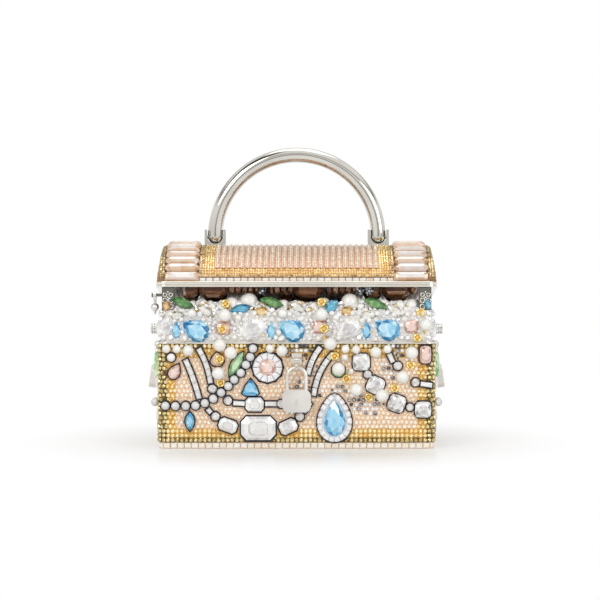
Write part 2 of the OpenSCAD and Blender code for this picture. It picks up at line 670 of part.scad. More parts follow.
module band_blue_marquises() color("deepskyblue") {
  band_stones(marquises_px, marquise_shares, stone_h);
  for (s = [-1, 1], y = [-1, 1]) on_side(s, y * collar_d * side_near_share, band_z(side_row_px),
    collar_inset, 90)
    stone(marquise_shares, mm(marquises_px[0][2]), mm(marquises_px[0][3]), stone_h);
}
module band_pink_cushions() color("pink") band_stones(cushions_px, cushion_shares, stone_h);
module band_clear_squares() color("whitesmoke") for (turn = [0, 180]) rotate([0, 0, turn])
  for (p = cushions_px, a = p[5]) if (turn == 0 || clear_of_hinge(p[0]))
    on_band(p[0] + square_ring_px * cos(a), p[1] - square_ring_px * sin(a), a)
      bar_stone(mm(square_px), mm(square_px), stone_h);
// Each pearl: across, down, radius in picture units
band_pearls_px = [[184.3, 341, 2.6], [280.3, 341, 2.6], [375.3, 341, 2.6], [191.4, 313.6, 4.6], [282.5,
  313.6, 4.6],
  [377.5, 313.6, 3], [238, 318, 3.2], [336, 318, 3.2]];
module band_pearls() color("ivory") for (p = band_pearls_px) on_band(p[0], p[1]) pearl(mm(p[2]));

heap_green_px = [[182, 302.5, 25, 10, -20], [271.5, 302, 25, 10, -15], [375.5, 303.5, 26, 10, -20]];
heap_blue_px = [[240.6, 309, 24, 9.5, 10], [331.5, 306.3, 17, 12, 45], [427.9, 304.5, 12, 7, 90]];
heap_champagne_px = [[166, 306, 10, 8, 90], [261.2, 311.5, 14, 9, 0], [347, 311.5, 14, 10, 0]];
heap_clear_px = [[176.6, 316.4, 12.5, 9, 0], [205, 311.4, 19, 8.5, -30], [297.6, 307.8, 19, 8.5, -30],
  [366.3, 316.6, 12.5, 9.5, 0], [395.2, 311, 19, 8.5, -30], [161.5, 314.6, 6.4, 5, 0]];
module shelf_green_marquises() color("forestgreen") band_stones(heap_green_px, marquise_shares, stone_h,
  false);
module shelf_blue_marquises() color("steelblue") band_stones(heap_blue_px, marquise_shares, stone_h,
  false);
module shelf_champagne_stones() color("burlywood") band_stones(heap_champagne_px, round_shares, stone_h,
  false);
module shelf_clear_stones() color("white") band_stones(heap_clear_px, round_shares, stone_h, false);
// Pearls on the shelf, in rows from front to back; the rows round the mouth are worked out
heap_pearls_px = [[177.6, 3.3], [191, 5], [212, 4], [221, 4.5], [231.3, 6.9], [248.4, 9.2], [283.8,
  5.6], [304.8, 3.8],
  [313.8, 4.4], [324, 6.6], [350, 8.9], [360.5, 3.6], [390.6, 3.3], [400.2, 5.4], [412.4, 6]];
back_pearl_px = 6;
back_pearl_r_px = 3.4;
back_steps = 6;
module shelf_pearls() color("ivory") {
  for (p = heap_pearls_px)
    translate([face_x(p[0]), -collar_d / 2 + mm(p[1]) + slip, shelf_z]) pearl(mm(p[1]));
  for (s = [-1, 1], n = [0:back_steps - 2]) translate([s * (collar_w / 2 - shelf_side_d / 2),
    mouth_front + mm(back_pearl_px) + n * (mouth_back - mouth_front) / back_steps, shelf_z])
      pearl(mm(back_pearl_r_px + n % 2));
}

// Necklaces: each pearl has its place on the front and how far out it is seated
under_stone = outline_t + stone_h;
left_pearls_px = [[224.6, 315.6, 0, 1], [219.6, 345, 0, 0], [230.6, 352.6, 0, 0], [218.2, 373.2, 0, 0]];
right_pearls_px = [[321.2, 314.6, 0, 1], [330, 343.6, 0, 0], [338.2, 368.4, 1, 0], [356.2, 389.5, 0, 0],
  [381.8, 395, 1, 0], [402.5, 377, 0, 0], [411.6, 352.6, 0, 0], [426, 325.5, 0, 1]];
necklace_pearl_px = 6.4;
module necklace_pearls() color("ivory") for (p = concat(left_pearls_px, right_pearls_px))
  if (p[3] == 1) on_band(p[0], p[1]) pearl(mm(necklace_pearl_px));
  else on_front(p[0], p[1], 0, p[2] * under_stone) pearl(mm(necklace_pearl_px));
left_links_px = [[225.5, 303.6, 0, 1], [222, 330.4, 1, 1], [219.6, 359, 1, 0], [220.4, 383, 0, 0]];
right_links_px = [[321.5, 301.8, 0, 1], [324, 329.8, 1, 1], [334.5, 356, 0.6, 0], [346.3, 378.7, 0, 0],
  [368.8, 397.4, 0, 0], [394.5, 388.2, 0, 0], [410.4, 365.2, 0, 0], [417.5, 339.4, 1, 1], [421, 312.6,
    0, 1]];
link_wire_px = 1.1;
link_bend_px = 3.3;
module gold_link() translate([0, 0, mm(link_wire_px)]) rotate_extrude($fn = 24)
  translate([mm(link_bend_px), 0]) circle(r = mm(link_wire_px), $fn = 16);
module necklace_links() color("gold") for (p = concat(left_links_px, right_links_px))
  if (p[3] == 1) on_band(p[0], p[1], 0, p[2] * stone_h) gold_link();
  else on_front(p[0], p[1], 0, p[2] * under_stone) gold_link();

octagons_px = [[254.4, 404.6, 18, 14, 0], [227.7, 425.6, 18.6, 12.6, -20], [258.1, 428.4, 34.4, 23.6, 0],
  [288, 426.8, 18, 13, 25]];
large_cushions_px = [[361.2, 362.1, 16.4, 16.4, 0], [375.5, 385.2, 16.4, 16.4, -25], [396.8, 403.4,
  16.4, 16.4, -20],
  [423.2, 409.7, 15.6, 15.6, 0]];
rounds_px = [[212.2, 389, 8.6], [227.7, 400.6, 8.4], [281, 404, 8.2], [215.2, 416.6, 8.4], [299.6,
  416.6, 8.6],
  [367.6, 374.4, 8], [410, 407.4, 7.6], [397.7, 365.9, 8.6], [415.6, 382.4, 8.2]];
// Runs of baguettes: from, to, sideways bend, count
runs_px = [[[185, 359.5], [199, 399], -1, 5], [[198.2, 348.5], [210.4, 383.4], -2, 5], [[320.4, 347],
  [307.6, 375], 2, 4],
  [[333.4, 353], [313.4, 396], 4, 6]];
bars_px = [[238.8, 403.4, 11, 4.6, -4], [270.6, 404, 11, 4.6, 0], [209, 411, 5.4, 4.4, -50], [307,
  407.4, 11, 4.6, 55],
  [391, 358, 9, 4.6, -65], [426.4, 384.6, 11, 4.6, -8]];
run_w_px = 4.8;
run_gap_share = 0.93;
function run_at(r, t) = r[0] + (r[1] - r[0]) * t
  + r[2] * 4 * t * (1 - t) * [-(r[1] - r[0]).y, (r[1] - r[0]).x] / norm(r[1] - r[0]);
module along_run(r, out) for (n = [0:r[3] - 1]) {
  a = run_at(r, n / r[3]);
  b = run_at(r, (n + 1) / r[3]);
  on_front((a.x + b.x) / 2, (a.y + b.y) / 2, atan2(a.y - b.y, b.x - a.x), out) children();
}
function run_step(r) = norm(r[1] - r[0]) / r[3];

pear_ring_px = [334.4, 417.6, 44, 31.5];
blue_drop_px = [334.6, 418.6, 32.6, 20, 90];
ring_count = 18;
drop_from = 28;
drop_power = 0.6;
drop_fill_share = 1.12;
// A teardrop: a point at angle a from its tip; it narrows to the tip as the half angle's sine
function drop_point(l, w, a) = [l / 2 * cos(a), w / 2 * sin(a) * pow(sin(a / 2), drop_power) *
  drop_fill_share];
function drop_turn(l, w, a) = atan2(drop_point(l, w, a + 1).y - drop_point(l, w, a - 1).y,
  drop_point(l, w, a + 1).x - drop_point(l, w, a - 1).x);
halo_px = [267.3, 367.5];
halo_stone_px = 13.6;
halo_ring_px = 12.1;
halo_count = 12;
halo_bar_px = 5.4;

// Coloured stones of the front: across, down, length, width, turn, then outline and colour
colour_stones_px = [
  [189.5, 421.4, 18, 9, 90, marquise_shares, "deepskyblue"], [236, 364, 28, 9.6, 60, marquise_shares,
    "lightgreen"],
  [250.4, 387.4, 16, 16, 90, trillion_shares, "skyblue"], [174.6, 371.4, 16, 11, 62, pear_shares, "pink"],
  [425.4, 354.6, 17, 11, 90, octagon_shares, "pink"], [217, 359.4, 14, 13, 90, pear_shares, "burlywood"],
  [338.2, 370.4, 13, 13, 0, round_shares, "lightgreen"]];
module front_colour_stones() for (p = colour_stones_px)
  color(p[6]) on_front(p[0], p[1], p[4], outline_t) stone(p[5], mm(p[2]), mm(p[3]), stone_h);

module set_stones(list, shape) for (p = list)
  on_front(p[0], p[1], p[4], outline_t) stone(shape, mm(p[2]), mm(p[3]), stone_h);
module front_octagons() color("white") set_stones(octagons_px, octagon_shares);
module front_cushions() color("white") set_stones(large_cushions_px, cushion_shares);
module front_rounds() color("white") for (p = rounds_px)
  on_front(p[0], p[1], 0, outline_t) stone(round_shares, mm(p[2]), mm(p[2]), stone_h);
module front_baguettes() color("white") {
  for (r = runs_px) along_run(r, outline_t)
    bar_stone(mm(run_step(r) * run_gap_share), mm(run_w_px), stone_h / 2);
  for (p = bars_px) on_front(p[0], p[1], p[4], outline_t) bar_stone(mm(p[2]), mm(p[3]), stone_h / 2);
}
module teardrop_stone() color("skyblue") on_front(blue_drop_px[0], blue_drop_px[1], blue_drop_px[4],
  outline_t)
  stone(pear_shares, mm(blue_drop_px[2]), mm(blue_drop_px[3]), stone_h);
module teardrop_ring() color("white") on_front(pear_ring_px[0], pear_ring_px[1], 90, outline_t)
  for (n = [0:ring_count - 1]) {
    a = drop_from + n * (360 - 2 * drop_from) / (ring_count - 1);
    p = drop_point(pear_ring_px[2], pear_ring_px[3], a);
    translate([mm(p.x), mm(p.y), 0]) rotate([0, 0, drop_turn(pear_ring_px[2], pear_ring_px[3], a)])
      bar_stone(mm(square_px), mm(square_px), stone_h / 2);
  }
module halo_cushion() color("pink") on_front(halo_px[0], halo_px[1], 0, outline_t)
  stone(cushion_shares, mm(halo_stone_px), mm(halo_stone_px), stone_h);
module halo_ring() color("white") on_front(halo_px[0], halo_px[1], 0, outline_t) for (n = [0:halo_count
  - 1])
  rotate([0, 0, n * 360 / halo_count]) translate([mm(halo_ring_px), 0, 0])
    bar_stone(mm(halo_bar_px), mm(halo_bar_px), stone_h / 2);

// Dark outlines: thin plates under the settings, a little larger than the stones
module plate(u, v, turn) on_front(u, v, turn) linear_extrude(height = outline_t) children();
module grown(shape, l, w) outline(shape, l + 2 * outline_w, w + 2 * outline_w);
module front_outlines() color("darkslategray") {
  for (p = octagons_px) plate(p[0], p[1], p[4]) grown(octagon_shares, mm(p[2]), mm(p[3]));
  for (p = large_cushions_px) plate(p[0], p[1], p[4]) grown(cushion_shares, mm(p[2]), mm(p[3]));
  for (p = rounds_px) plate(p[0], p[1], 0) grown(round_shares, mm(p[2]), mm(p[2]));
  for (p = colour_stones_px) plate(p[0], p[1], p[4]) grown(p[5], mm(p[2]), mm(p[3]));
  for (p = bars_px) plate(p[0], p[1], p[4]) grown(square_shares, mm(p[2]), mm(p[3]));
  for (r = runs_px) along_run(r, 0) linear_extrude(height = outline_t)
    grown(square_shares, mm(run_step(r)) - outline_w, mm(run_w_px));
  plate(pear_ring_px[0], pear_ring_px[1], 90) polygon([for (a = [0:12:359])
    drop_point(mm(pear_ring_px[2] + square_px) + 2 * outline_w, mm(pear_ring_px[3] + square_px) + 2 *
      outline_w, a)]);
  plate(halo_px[0], halo_px[1], 0) circle(r = mm(halo_ring_px + halo_bar_px / 2) + outline_w);
}

grey_pearls_px = [[165.1, 405.7], [175.1, 406], [185.4, 406], [195.2, 405.5], [204.6, 403], [213, 398.6],
  [220.9, 392.4], [228, 386], [234, 379.4], [240.6, 372.6], [245.8, 364.6], [250, 356.8], [252.8, 348.4]];
grey_pearl_px = 4.2;
grey_pitch_px = 10.4;
side_string_px = 403;
module grey_pearl_string() color("lightgray") {
  for (p = grey_pearls_px) on_front(p[0], p[1]) pearl(mm(grey_pearl_px));
  for (s = [-1, 1], n = [0:1]) on_side(s, -case_d / 2 + corner_r + n * mm(grey_pitch_px),
    face_z(side_string_px), 0)
    pearl(mm(grey_pearl_px));
}
front_pearls_px = [[166.2, 348.7, 4.2], [171, 357.4, 4.2], [176.6, 349, 4.2], [188, 350.4, 5.4],
  [281.8, 350.6, 5.6], [345.3, 349, 4.2], [356, 349.4, 4.2], [344.6, 357.4, 3.4], [375.6, 352, 5.6],
    [387.4, 349, 4.2],
  [351, 371, 2.6]];
// One pearl stands over the halo, clear of its squares
halo_pearl_px = [2.6, 19.1, 4.2];
module front_pearls() color("ivory") {
  for (p = front_pearls_px) on_front(p[0], p[1]) pearl(mm(p[2]));
  on_front(halo_px[0], halo_px[1]) translate([mm(halo_pearl_px[0]), mm(halo_pearl_px[1])])
    pearl(mm(halo_pearl_px[2]));
}

// Stones on the sides of the case, mirrored left to right; the low pearls carry the hanging padlocks
side_white_shares = [[-0.3, 0.3], [0.3, 0.3], [-0.36, 0.62]];
side_green_shares = [[-0.28, 0.78], [0.28, 0.78]];
side_blue_shares = [[-0.2, 0.18], [0.2, 0.18]];
side_cushion_px = 15;
side_green_px = [27, 10];
side_blue_px = [18, 9];
support_pearl_r = 1.65;
support_share = 0.7;
support_z = side_pivot_z + lock_top - lock_h * support_share;
module side_stones() for (s = [-1, 1]) {
  color("white") for (p = side_white_shares) on_side(s, p.x * case_d, p.y * case_h, 0)
    stone(cushion_shares, mm(side_cushion_px), mm(side_cushion_px), stone_h);
  color("lightgreen") for (p = side_green_shares) on_side(s, p.x * case_d, p.y * case_h, 0, 90)
    stone(marquise_shares, mm(side_green_px[0]), mm(side_green_px[1]), stone_h);
  color("deepskyblue") for (p = side_blue_shares) on_side(s, p.x * case_d, p.y * case_h, 0, 90)
    stone(marquise_shares, mm(side_blue_px[0]), mm(side_blue_px[1]), stone_h);
  color("ivory") for (y = [-1, 1]) on_side(s, y * lock_w / 4, support_z, 0) pearl(support_pearl_r);
}

case_shell();
case_lining();
case_bead_sheet();
foot_crystals();
case_rim();
collar();
rest_posts();
rest_magnets();
hinge_leaf_lower();
hinge_pin();
strap_post_left();
strap_post_right();
band_blue_pears();
band_white_ovals();
band_blue_marquises();
band_pink_cushions();
band_clear_squares();
band_pearls();
shelf_green_marquises();
shelf_blue_marquises();
shelf_champagne_stones();
shelf_clear_stones();
shelf_pearls();
necklace_pearls();
necklace_links();
front_outlines();
front_octagons();
front_cushions();
front_rounds();
front_baguettes();
grey_pearl_string();
front_pearls();
teardrop_stone();
teardrop_ring();
halo_cushion();
halo_ring();
front_colour_stones();
side_stones();
front_staple();
side_staples();
lid_shell();
lid_rim();
lid_bead_sheet();
lid_baguettes();
lid_row_crystals();
lid_inner_plate();
lid_smoky_octagons();
lid_magnets();
hinge_leaf_upper();
handle_sockets();
socket_nuts();
handle_pins();
handle();
front_bail();
front_padlock_body();
front_padlock_shackle();
left_padlock();
right_padlock();
left_clasp_charm();
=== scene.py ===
"""Looks of a crystal-covered minaudiere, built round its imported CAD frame.

Lengths are in millimetres until a mesh is made, and the meshes are in metres. Each shape is a part: its
points, its faces, a tone for every face and a material number. Several parts make one piece.
"""

import math

import bpy
import numpy as np
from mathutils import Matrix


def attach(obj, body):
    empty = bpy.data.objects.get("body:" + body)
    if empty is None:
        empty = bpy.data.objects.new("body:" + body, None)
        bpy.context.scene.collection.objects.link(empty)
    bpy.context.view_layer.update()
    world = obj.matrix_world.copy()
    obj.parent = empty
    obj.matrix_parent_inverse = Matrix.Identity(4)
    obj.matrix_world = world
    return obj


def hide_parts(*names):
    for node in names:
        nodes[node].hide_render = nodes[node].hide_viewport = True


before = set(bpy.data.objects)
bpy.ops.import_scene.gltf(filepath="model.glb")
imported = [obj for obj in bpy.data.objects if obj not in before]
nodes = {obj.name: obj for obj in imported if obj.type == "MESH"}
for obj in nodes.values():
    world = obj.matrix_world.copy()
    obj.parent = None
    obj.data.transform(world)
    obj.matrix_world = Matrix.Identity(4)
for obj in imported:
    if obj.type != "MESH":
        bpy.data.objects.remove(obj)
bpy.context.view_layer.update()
chance = np.random.default_rng(11)

MM = 0.001
CASE_HALF = (74.0, 41.0)
CASE_CORNER = 5.0
COLLAR_HALF = (72.0, 39.0)
COLLAR_CORNER = 3.0
CASE_HIGH = 56.0
CASE_TOP = 57.0
FOOT_HIGH = 3.4
SHELF_Z = 74.0
REST_POST_X = 68.8
STRAP_POST_Z = CASE_TOP + 5.2
LID_HALF = (75.0, 42.0)
LID_RIM = 3.0
HINGE_Y = 45.0
HINGE_Z = 75.0
TILT = math.radians(7.6)
LID_MID = -45.0
ARCH_HALF = 40.0
ARCH_RISE = 21.4
ARCH_R = (ARCH_HALF ** 2 + ARCH_RISE ** 2) / (2 * ARCH_RISE)
ARCH_TURN = math.asin(ARCH_HALF / ARCH_R)
RIDGE = 5.5 + ARCH_RISE
SHELL_R = ARCH_R - 1.2
HANDLE_R = 45.0
SOCKET_HALF = (5.8, 4.2)
BAY_IN = 52.2
BAY_OUT = 70.7
END_FOOT = 74.5
END_TOP = 72.4
BAR_STEP = 5.7 / SHELL_R
RIBS = 27
RIB_BORDER = 7.9
RIB_BORDER_FOOT = 6.2
OUTLINE_WIDE = 0.8
PEARL_OUTLINE_WIDE = 0.65
HEX_RISE = 0.87
SAME_WAY = 0.9
DIAGONAL = math.sqrt(2)
PHOTO_MIDDLE = 296.5
PHOTO_FOOT = 449.0
LID_PIXELS = 281.4
CASE_PIXELS = 105.0
PIXEL = 0.533
ACROSS = np.array([1.0, 0.0, 0.0])
UP = np.array([0.0, 0.0, 1.0])


# The camera, the lamps, the floor and the world


def direction_euler(way):
    """Turns of an object whose own -Z axis points along a vector, its Y axis as upright as can be."""
    flat = math.hypot(way[0], way[1])
    return (math.pi / 2 - math.atan2(-way[2], flat), 0.0, math.atan2(way[1], way[0]) - math.pi / 2)


def put_in_scene(name, data):
    """A new object of some data, linked to the scene."""
    made = bpy.data.objects.new(name, data)
    bpy.context.scene.collection.objects.link(made)
    return made


def soft_lamp(name, place, size, power, colour):
    """A square area lamp at a place, turned to the object's middle, in metres and watts."""
    data = bpy.data.lights.new(name, "AREA")
    data.shape = "SQUARE"
    data.size = size
    data.energy = power
    data.color = colour
    lamp = put_in_scene(name, data)
    lamp.location = place
    middle = np.array([0.0, 0.0, 0.08])
    lamp.rotation_euler = direction_euler(middle - np.array(place))


def make_camera():
    """The photograph's view: a little above level, 1.2 m before the front, 320 mm across the picture."""
    data = bpy.data.cameras.new("photo_camera")
    data.sensor_width = 36.0
    distance = 1.2
    half_seen = 0.160
    data.angle = 2 * math.atan(half_seen / distance)
    camera = put_in_scene("photo_camera", data)
    aim = np.array([0.0018, -0.041, 0.0795])
    lift = math.radians(2.0)
    place = aim + distance * np.array([0.0, -math.cos(lift), math.sin(lift)])
    camera.location = place
    camera.rotation_euler = direction_euler(aim - place)
    bpy.context.scene.camera = camera


def add(tree, kind, inputs=None, **settings):
    """A shader node with its settings. An input is a value, or a socket that is linked to it."""
    made = tree.nodes.new(kind)
    for key, value in settings.items():
        setattr(made, key, value)
    for key, value in (inputs or {}).items():
        if isinstance(value, bpy.types.NodeSocket):
            tree.links.new(value, made.inputs[key])
        else:
            made.inputs[key].default_value = value
    return made


def object_place(tree):
    """The object's own coordinates, in metres."""
    return add(tree, "ShaderNodeTexCoord").outputs["Object"]


def ramp_of(tree, source, stops):
    """A colour ramp over a value, from (place, colour) stops."""
    ramp = add(tree, "ShaderNodeValToRGB", {0: source})
    elements = ramp.color_ramp.elements
    for element, (place, colour) in zip(elements, (stops[0], stops[-1])):
        element.position = place
        element.color = (*colour, 1.0)
    for place, colour in stops[1:-1]:
        elements.new(place).color = (*colour, 1.0)
    return ramp.outputs[0]


def smooth_range(tree, value, low, high, at_low, at_high):
    """A value's soft step: at_low up to low, at_high from high on."""
    inputs = {"Value": value, "From Min": low, "From Max": high, "To Min": at_low, "To Max": at_high}
    return add(tree, "ShaderNodeMapRange", inputs, interpolation_type="SMOOTHSTEP").outputs[0]


def make_world():
    """A studio: white to the eye. In gloss it is white behind and above, grey low, with a grey band above
    and three dark spots towards the front, where a camera and its stands would be."""
    world = bpy.data.worlds.new("studio")
    bpy.context.scene.world = world
    world.use_nodes = True
    tree = world.node_tree
    tree.nodes.clear()
    white = (1.0, 1.0, 1.0, 1.0)
    coords = add(tree, "ShaderNodeTexCoord").outputs["Generated"]
    up = add(tree, "ShaderNodeSeparateXYZ", {0: coords}).outputs[2]
    half = add(tree, "ShaderNodeMath", {0: up, 1: 0.5, 2: 0.5}, operation="MULTIPLY_ADD").outputs[0]
    greys = ((0.40, 0.30), (0.47, 0.85), (0.66, 1.0), (0.74, 0.35), (0.82, 1.0))
    stops = [(place, (grey, grey * 0.99, grey * 0.97)) for place, grey in greys]
    stops = [(0.0, (0.55, 0.53, 0.50))] + stops + [(1.0, (0.95, 0.95, 0.95))]
    shaded = ramp_of(tree, half, stops)
    spots = (((0.0, -1.0, 0.03), 0.995, 0.955, 0.42), ((-0.48, -0.30, 0.80), 0.965, 0.90, 0.10),
             ((0.80, -0.55, 0.20), 0.99, 0.95, 0.35))
    for towards, near, far, dark in spots:
        way = tuple(np.array(towards) / np.linalg.norm(towards))
        near_spot = add(tree, "ShaderNodeVectorMath", {0: coords, 1: way}, operation="DOT_PRODUCT")
        fade = smooth_range(tree, near_spot.outputs["Value"], far, near, 1.0, dark)
        shaded = add(tree, "ShaderNodeVectorMath", {0: shaded, "Scale": fade}, operation="SCALE").outputs[0]
    glow = add(tree, "ShaderNodeBackground", {"Color": shaded, "Strength": 1.0}).outputs[0]
    room = add(tree, "ShaderNodeBackground", {"Color": (0.98, 0.98, 1.0, 1.0), "Strength": 0.42}).outputs[0]
    seen = add(tree, "ShaderNodeBackground", {"Color": white, "Strength": 1.0}).outputs[0]
    path = add(tree, "ShaderNodeLightPath").outputs
    gloss = add(tree, "ShaderNodeMixShader", {0: path["Is Glossy Ray"], 1: room, 2: glow}).outputs[0]
    eye = add(tree, "ShaderNodeMixShader", {0: path["Is Camera Ray"], 1: gloss, 2: seen}).outputs[0]
    add(tree, "ShaderNodeOutputWorld", {0: eye})


def bare_material(name, base, metallic, roughness, **more):
    """A material with one principled shader; the values that are the same all over sit on its sockets."""
    material = bpy.data.materials.new(name)
    material.use_nodes = True
    tree = material.node_tree
    shader = tree.nodes["Principled BSDF"]
    shader.inputs["Base Color"].default_value = (*base, 1.0)
    shader.inputs["Metallic"].default_value = metallic
    shader.inputs["Roughness"].default_value = roughness
    for label, value in more.items():
        shader.inputs[label.replace("_", " ")].default_value = value
    return material, tree, shader


def make_floor():
    """A wide pale gloss floor that fades to white away from the object, for the eye and for gloss."""
    size = 6.0
    corners = [(-size, -size, 0), (size, -size, 0), (size, size, 0), (-size, size, 0)]
    mesh = bpy.data.meshes.new("floor")
    mesh.from_pydata(corners, [], [(0, 1, 2, 3)])
    floor = put_in_scene("floor", mesh)
    material, tree, body = bare_material("pale_floor", (0.90, 0.885, 0.865), 0.0, 0.22,
                                         Specular_IOR_Level=0.35)
    far = add(tree, "ShaderNodeVectorMath", {0: object_place(tree)}, operation="LENGTH").outputs["Value"]
    fade = smooth_range(tree, far, 0.05, 0.16, 0.15, 1.0)
    path = add(tree, "ShaderNodeLightPath").outputs
    either = add(tree, "ShaderNodeMath", {0: path["Is Camera Ray"], 1: path["Is Glossy Ray"]},
                 operation="MAXIMUM").outputs[0]
    share = add(tree, "ShaderNodeMath", {0: either, 1: fade}, operation="MULTIPLY").outputs[0]
    white = add(tree, "ShaderNodeEmission", {"Strength": 1.0}).outputs[0]
    mix = add(tree, "ShaderNodeMixShader", {0: share, 1: body.outputs[0], 2: white}).outputs[0]
    tree.links.new(mix, tree.nodes["Material Output"].inputs[0])
    mesh.materials.append(material)


def make_studio():
    """The view transform, the world, the floor, the camera and three soft lamps."""
    bpy.context.scene.view_settings.view_transform = "Standard"
    make_world()
    make_floor()
    make_camera()
    soft_lamp("key_lamp", (-0.75, -1.05, 0.85), 0.7, 8.9, (1.0, 0.985, 0.96))
    soft_lamp("fill_lamp", (0.95, -0.85, 0.45), 0.6, 4.6, (0.97, 0.985, 1.0))
    soft_lamp("top_lamp", (0.05, 0.15, 1.15), 0.8, 2.4, (1.0, 1.0, 1.0))


# Materials


def add_bump(tree, shader, height, strength, distance):
    """Bends a shader's normal by a height."""
    bump = add(tree, "ShaderNodeBump", {"Strength": strength, "Distance": distance, "Height": height})
    tree.links.new(bump.outputs[0], shader.inputs["Normal"])


def crystal(name, deep, middle, light, glint, inner=0.35, cells=900.0, metallic=0.25, coat=0.8):
    """Foiled crystal, its facets' light painted in: a face's tone places its colour on a ramp that runs from
    painted shade through the stone's own colours to a painted glint. Small flat cells in each face stand for
    the facets beneath as a painted reflection pattern. The colour's place on the ramp is the face's tone,
    plus inner times what a cell's own number is over a half."""
    material, tree, shader = bare_material(name, middle, metallic, 0.07, IOR=1.6, Coat_Weight=coat,
                                           Coat_Roughness=0.03)
    tone = add(tree, "ShaderNodeAttribute", attribute_name="tone").outputs["Fac"]
    cell = add(tree, "ShaderNodeTexVoronoi", {"Vector": object_place(tree), "Scale": cells}).outputs["Color"]
    own = add(tree, "ShaderNodeSeparateColor", {0: cell}).outputs[0]
    shift = add(tree, "ShaderNodeMath", {0: own, 1: inner, 2: tone}, operation="MULTIPLY_ADD").outputs[0]
    centred = add(tree, "ShaderNodeMath", {0: shift, 1: inner * 0.5}, operation="SUBTRACT").outputs[0]
    # The ramp: deep is painted shade, middle and light the stone's own colours, glint a painted highlight.
    stops = ((0.0, deep), (0.35, middle), (0.72, light), (1.0, glint))
    tree.links.new(ramp_of(tree, centred, stops), shader.inputs["Base Color"])
    return material


def polished(name, base, roughness=0.12, scratch=0.25):
    """Plated metal: fine wear varies the roughness and the tint, and faint long scratches bend the gloss."""
    material, tree, shader = bare_material(name, base, 1.0, roughness)
    place = object_place(tree)
    wear = add(tree, "ShaderNodeTexNoise", {"Vector": place, "Scale": 55.0, "Detail": 6.0}).outputs[0]
    span = add(tree, "ShaderNodeMapRange", {"Value": wear, "From Min": 0.3, "From Max": 0.75,
                                            "To Min": roughness * 0.6, "To Max": roughness * 1.7})
    tree.links.new(span.outputs[0], shader.inputs["Roughness"])
    tint = tuple(c * 0.88 for c in base)
    tree.links.new(ramp_of(tree, wear, ((0.3, tint), (0.62, base))), shader.inputs["Base Color"])
    stretch = add(tree, "ShaderNodeMapping", {"Vector": place, "Scale": (300.0, 300.0, 2600.0)}).outputs[0]
    lines = add(tree, "ShaderNodeTexNoise", {"Vector": stretch, "Scale": 1.0, "Detail": 3.0}).outputs[0]
    add_bump(tree, shader, lines, scratch * 0.2, 0.00005)
    return material


def pearl_lustre(name, body, shade, painted_rim_shade):
    """Pearl: soft clouds of body colour, and toward the rim a darker tone by how far the surface turns from
    the eye, a painted rim shade and sheen, under a clear skin.
    """
    material, tree, shader = bare_material(name, body, 0.0, 0.22, Coat_Weight=0.7, Coat_Roughness=0.08,
                                           IOR=1.55, Sheen_Weight=0.25, Sheen_Roughness=0.3)
    cloud = add(tree, "ShaderNodeTexNoise", {"Vector": object_place(tree), "Scale": 160.0,
                                             "Detail": 4.0}).outputs[0]
    base = ramp_of(tree, cloud, ((0.32, shade), (0.62, body)))
    # The rim turns to the darker colour by the facing weight: painted shade and sheen at the rim.
    edge = add(tree, "ShaderNodeLayerWeight", {"Blend": 0.35}).outputs["Facing"]
    mix = add(tree, "ShaderNodeMix", {"Factor": edge, 6: base, 7: (*painted_rim_shade, 1.0)}, data_type="RGBA")
    tree.links.new(mix.outputs[2], shader.inputs["Base Color"])
    add_bump(tree, shader, cloud, 0.12, 0.0001)
    return material


def leather(name, light, dark):
    """Fine-grained leather: cell creases in the bump and the colour."""
    material, tree, shader = bare_material(name, light, 0.0, 0.55, Sheen_Weight=0.15)
    grain = add(tree, "ShaderNodeTexVoronoi", {"Vector": object_place(tree), "Scale": 900.0},
                feature="DISTANCE_TO_EDGE").outputs[0]
    tree.links.new(ramp_of(tree, grain, ((0.0, dark), (0.25, light))), shader.inputs["Base Color"])
    add_bump(tree, shader, grain, 0.4, 0.0002)
    return material


def glue_bed(name, low, high):
    """The metallic bed between the beads: grains of two tones."""
    material, tree, shader = bare_material(name, low, 0.5, 0.35)
    grain = add(tree, "ShaderNodeTexNoise", {"Vector": object_place(tree), "Scale": 1400.0, "Detail": 2.0})
    tree.links.new(ramp_of(tree, grain.outputs[0], ((0.35, low), (0.7, high))), shader.inputs["Base Color"])
    return material


# In each crystal below, the first colour is the painted shade of its dark facets, the next two its own
# colours and the last its painted glint.
SKY = crystal("sky_crystal", (0.02, 0.22, 0.50), (0.10, 0.47, 0.80), (0.38, 0.72, 0.92), (0.78, 0.94, 1.0),
              inner=0.12, cells=500.0)
DEEP_BLUE = crystal("deep_blue_crystal", (0.01, 0.10, 0.24), (0.03, 0.27, 0.46), (0.12, 0.47, 0.66),
                    (0.50, 0.78, 0.88))
LEAF = crystal("leaf_crystal", (0.01, 0.07, 0.02), (0.04, 0.18, 0.04), (0.13, 0.33, 0.09),
               (0.45, 0.60, 0.30))
MINT = crystal("mint_crystal", (0.14, 0.40, 0.14), (0.32, 0.63, 0.30), (0.60, 0.83, 0.52),
               (0.86, 0.96, 0.78), inner=0.2, cells=500.0)
ROSE = crystal("rose_crystal", (0.55, 0.26, 0.20), (0.80, 0.52, 0.44), (0.90, 0.70, 0.62),
               (1.0, 0.90, 0.84))
HONEY = crystal("honey_crystal", (0.30, 0.12, 0.02), (0.60, 0.32, 0.09), (0.84, 0.60, 0.26),
                (1.0, 0.90, 0.62))
BLUSH = crystal("blush_crystal", (0.60, 0.32, 0.16), (0.86, 0.62, 0.42), (0.94, 0.80, 0.66),
                (1.0, 0.95, 0.86), inner=0.3, cells=420.0)
SMOKY = crystal("smoky_crystal", (0.10, 0.028, 0.008), (0.30, 0.11, 0.04), (0.46, 0.21, 0.10),
                (0.84, 0.56, 0.36), inner=0.3, cells=300.0)
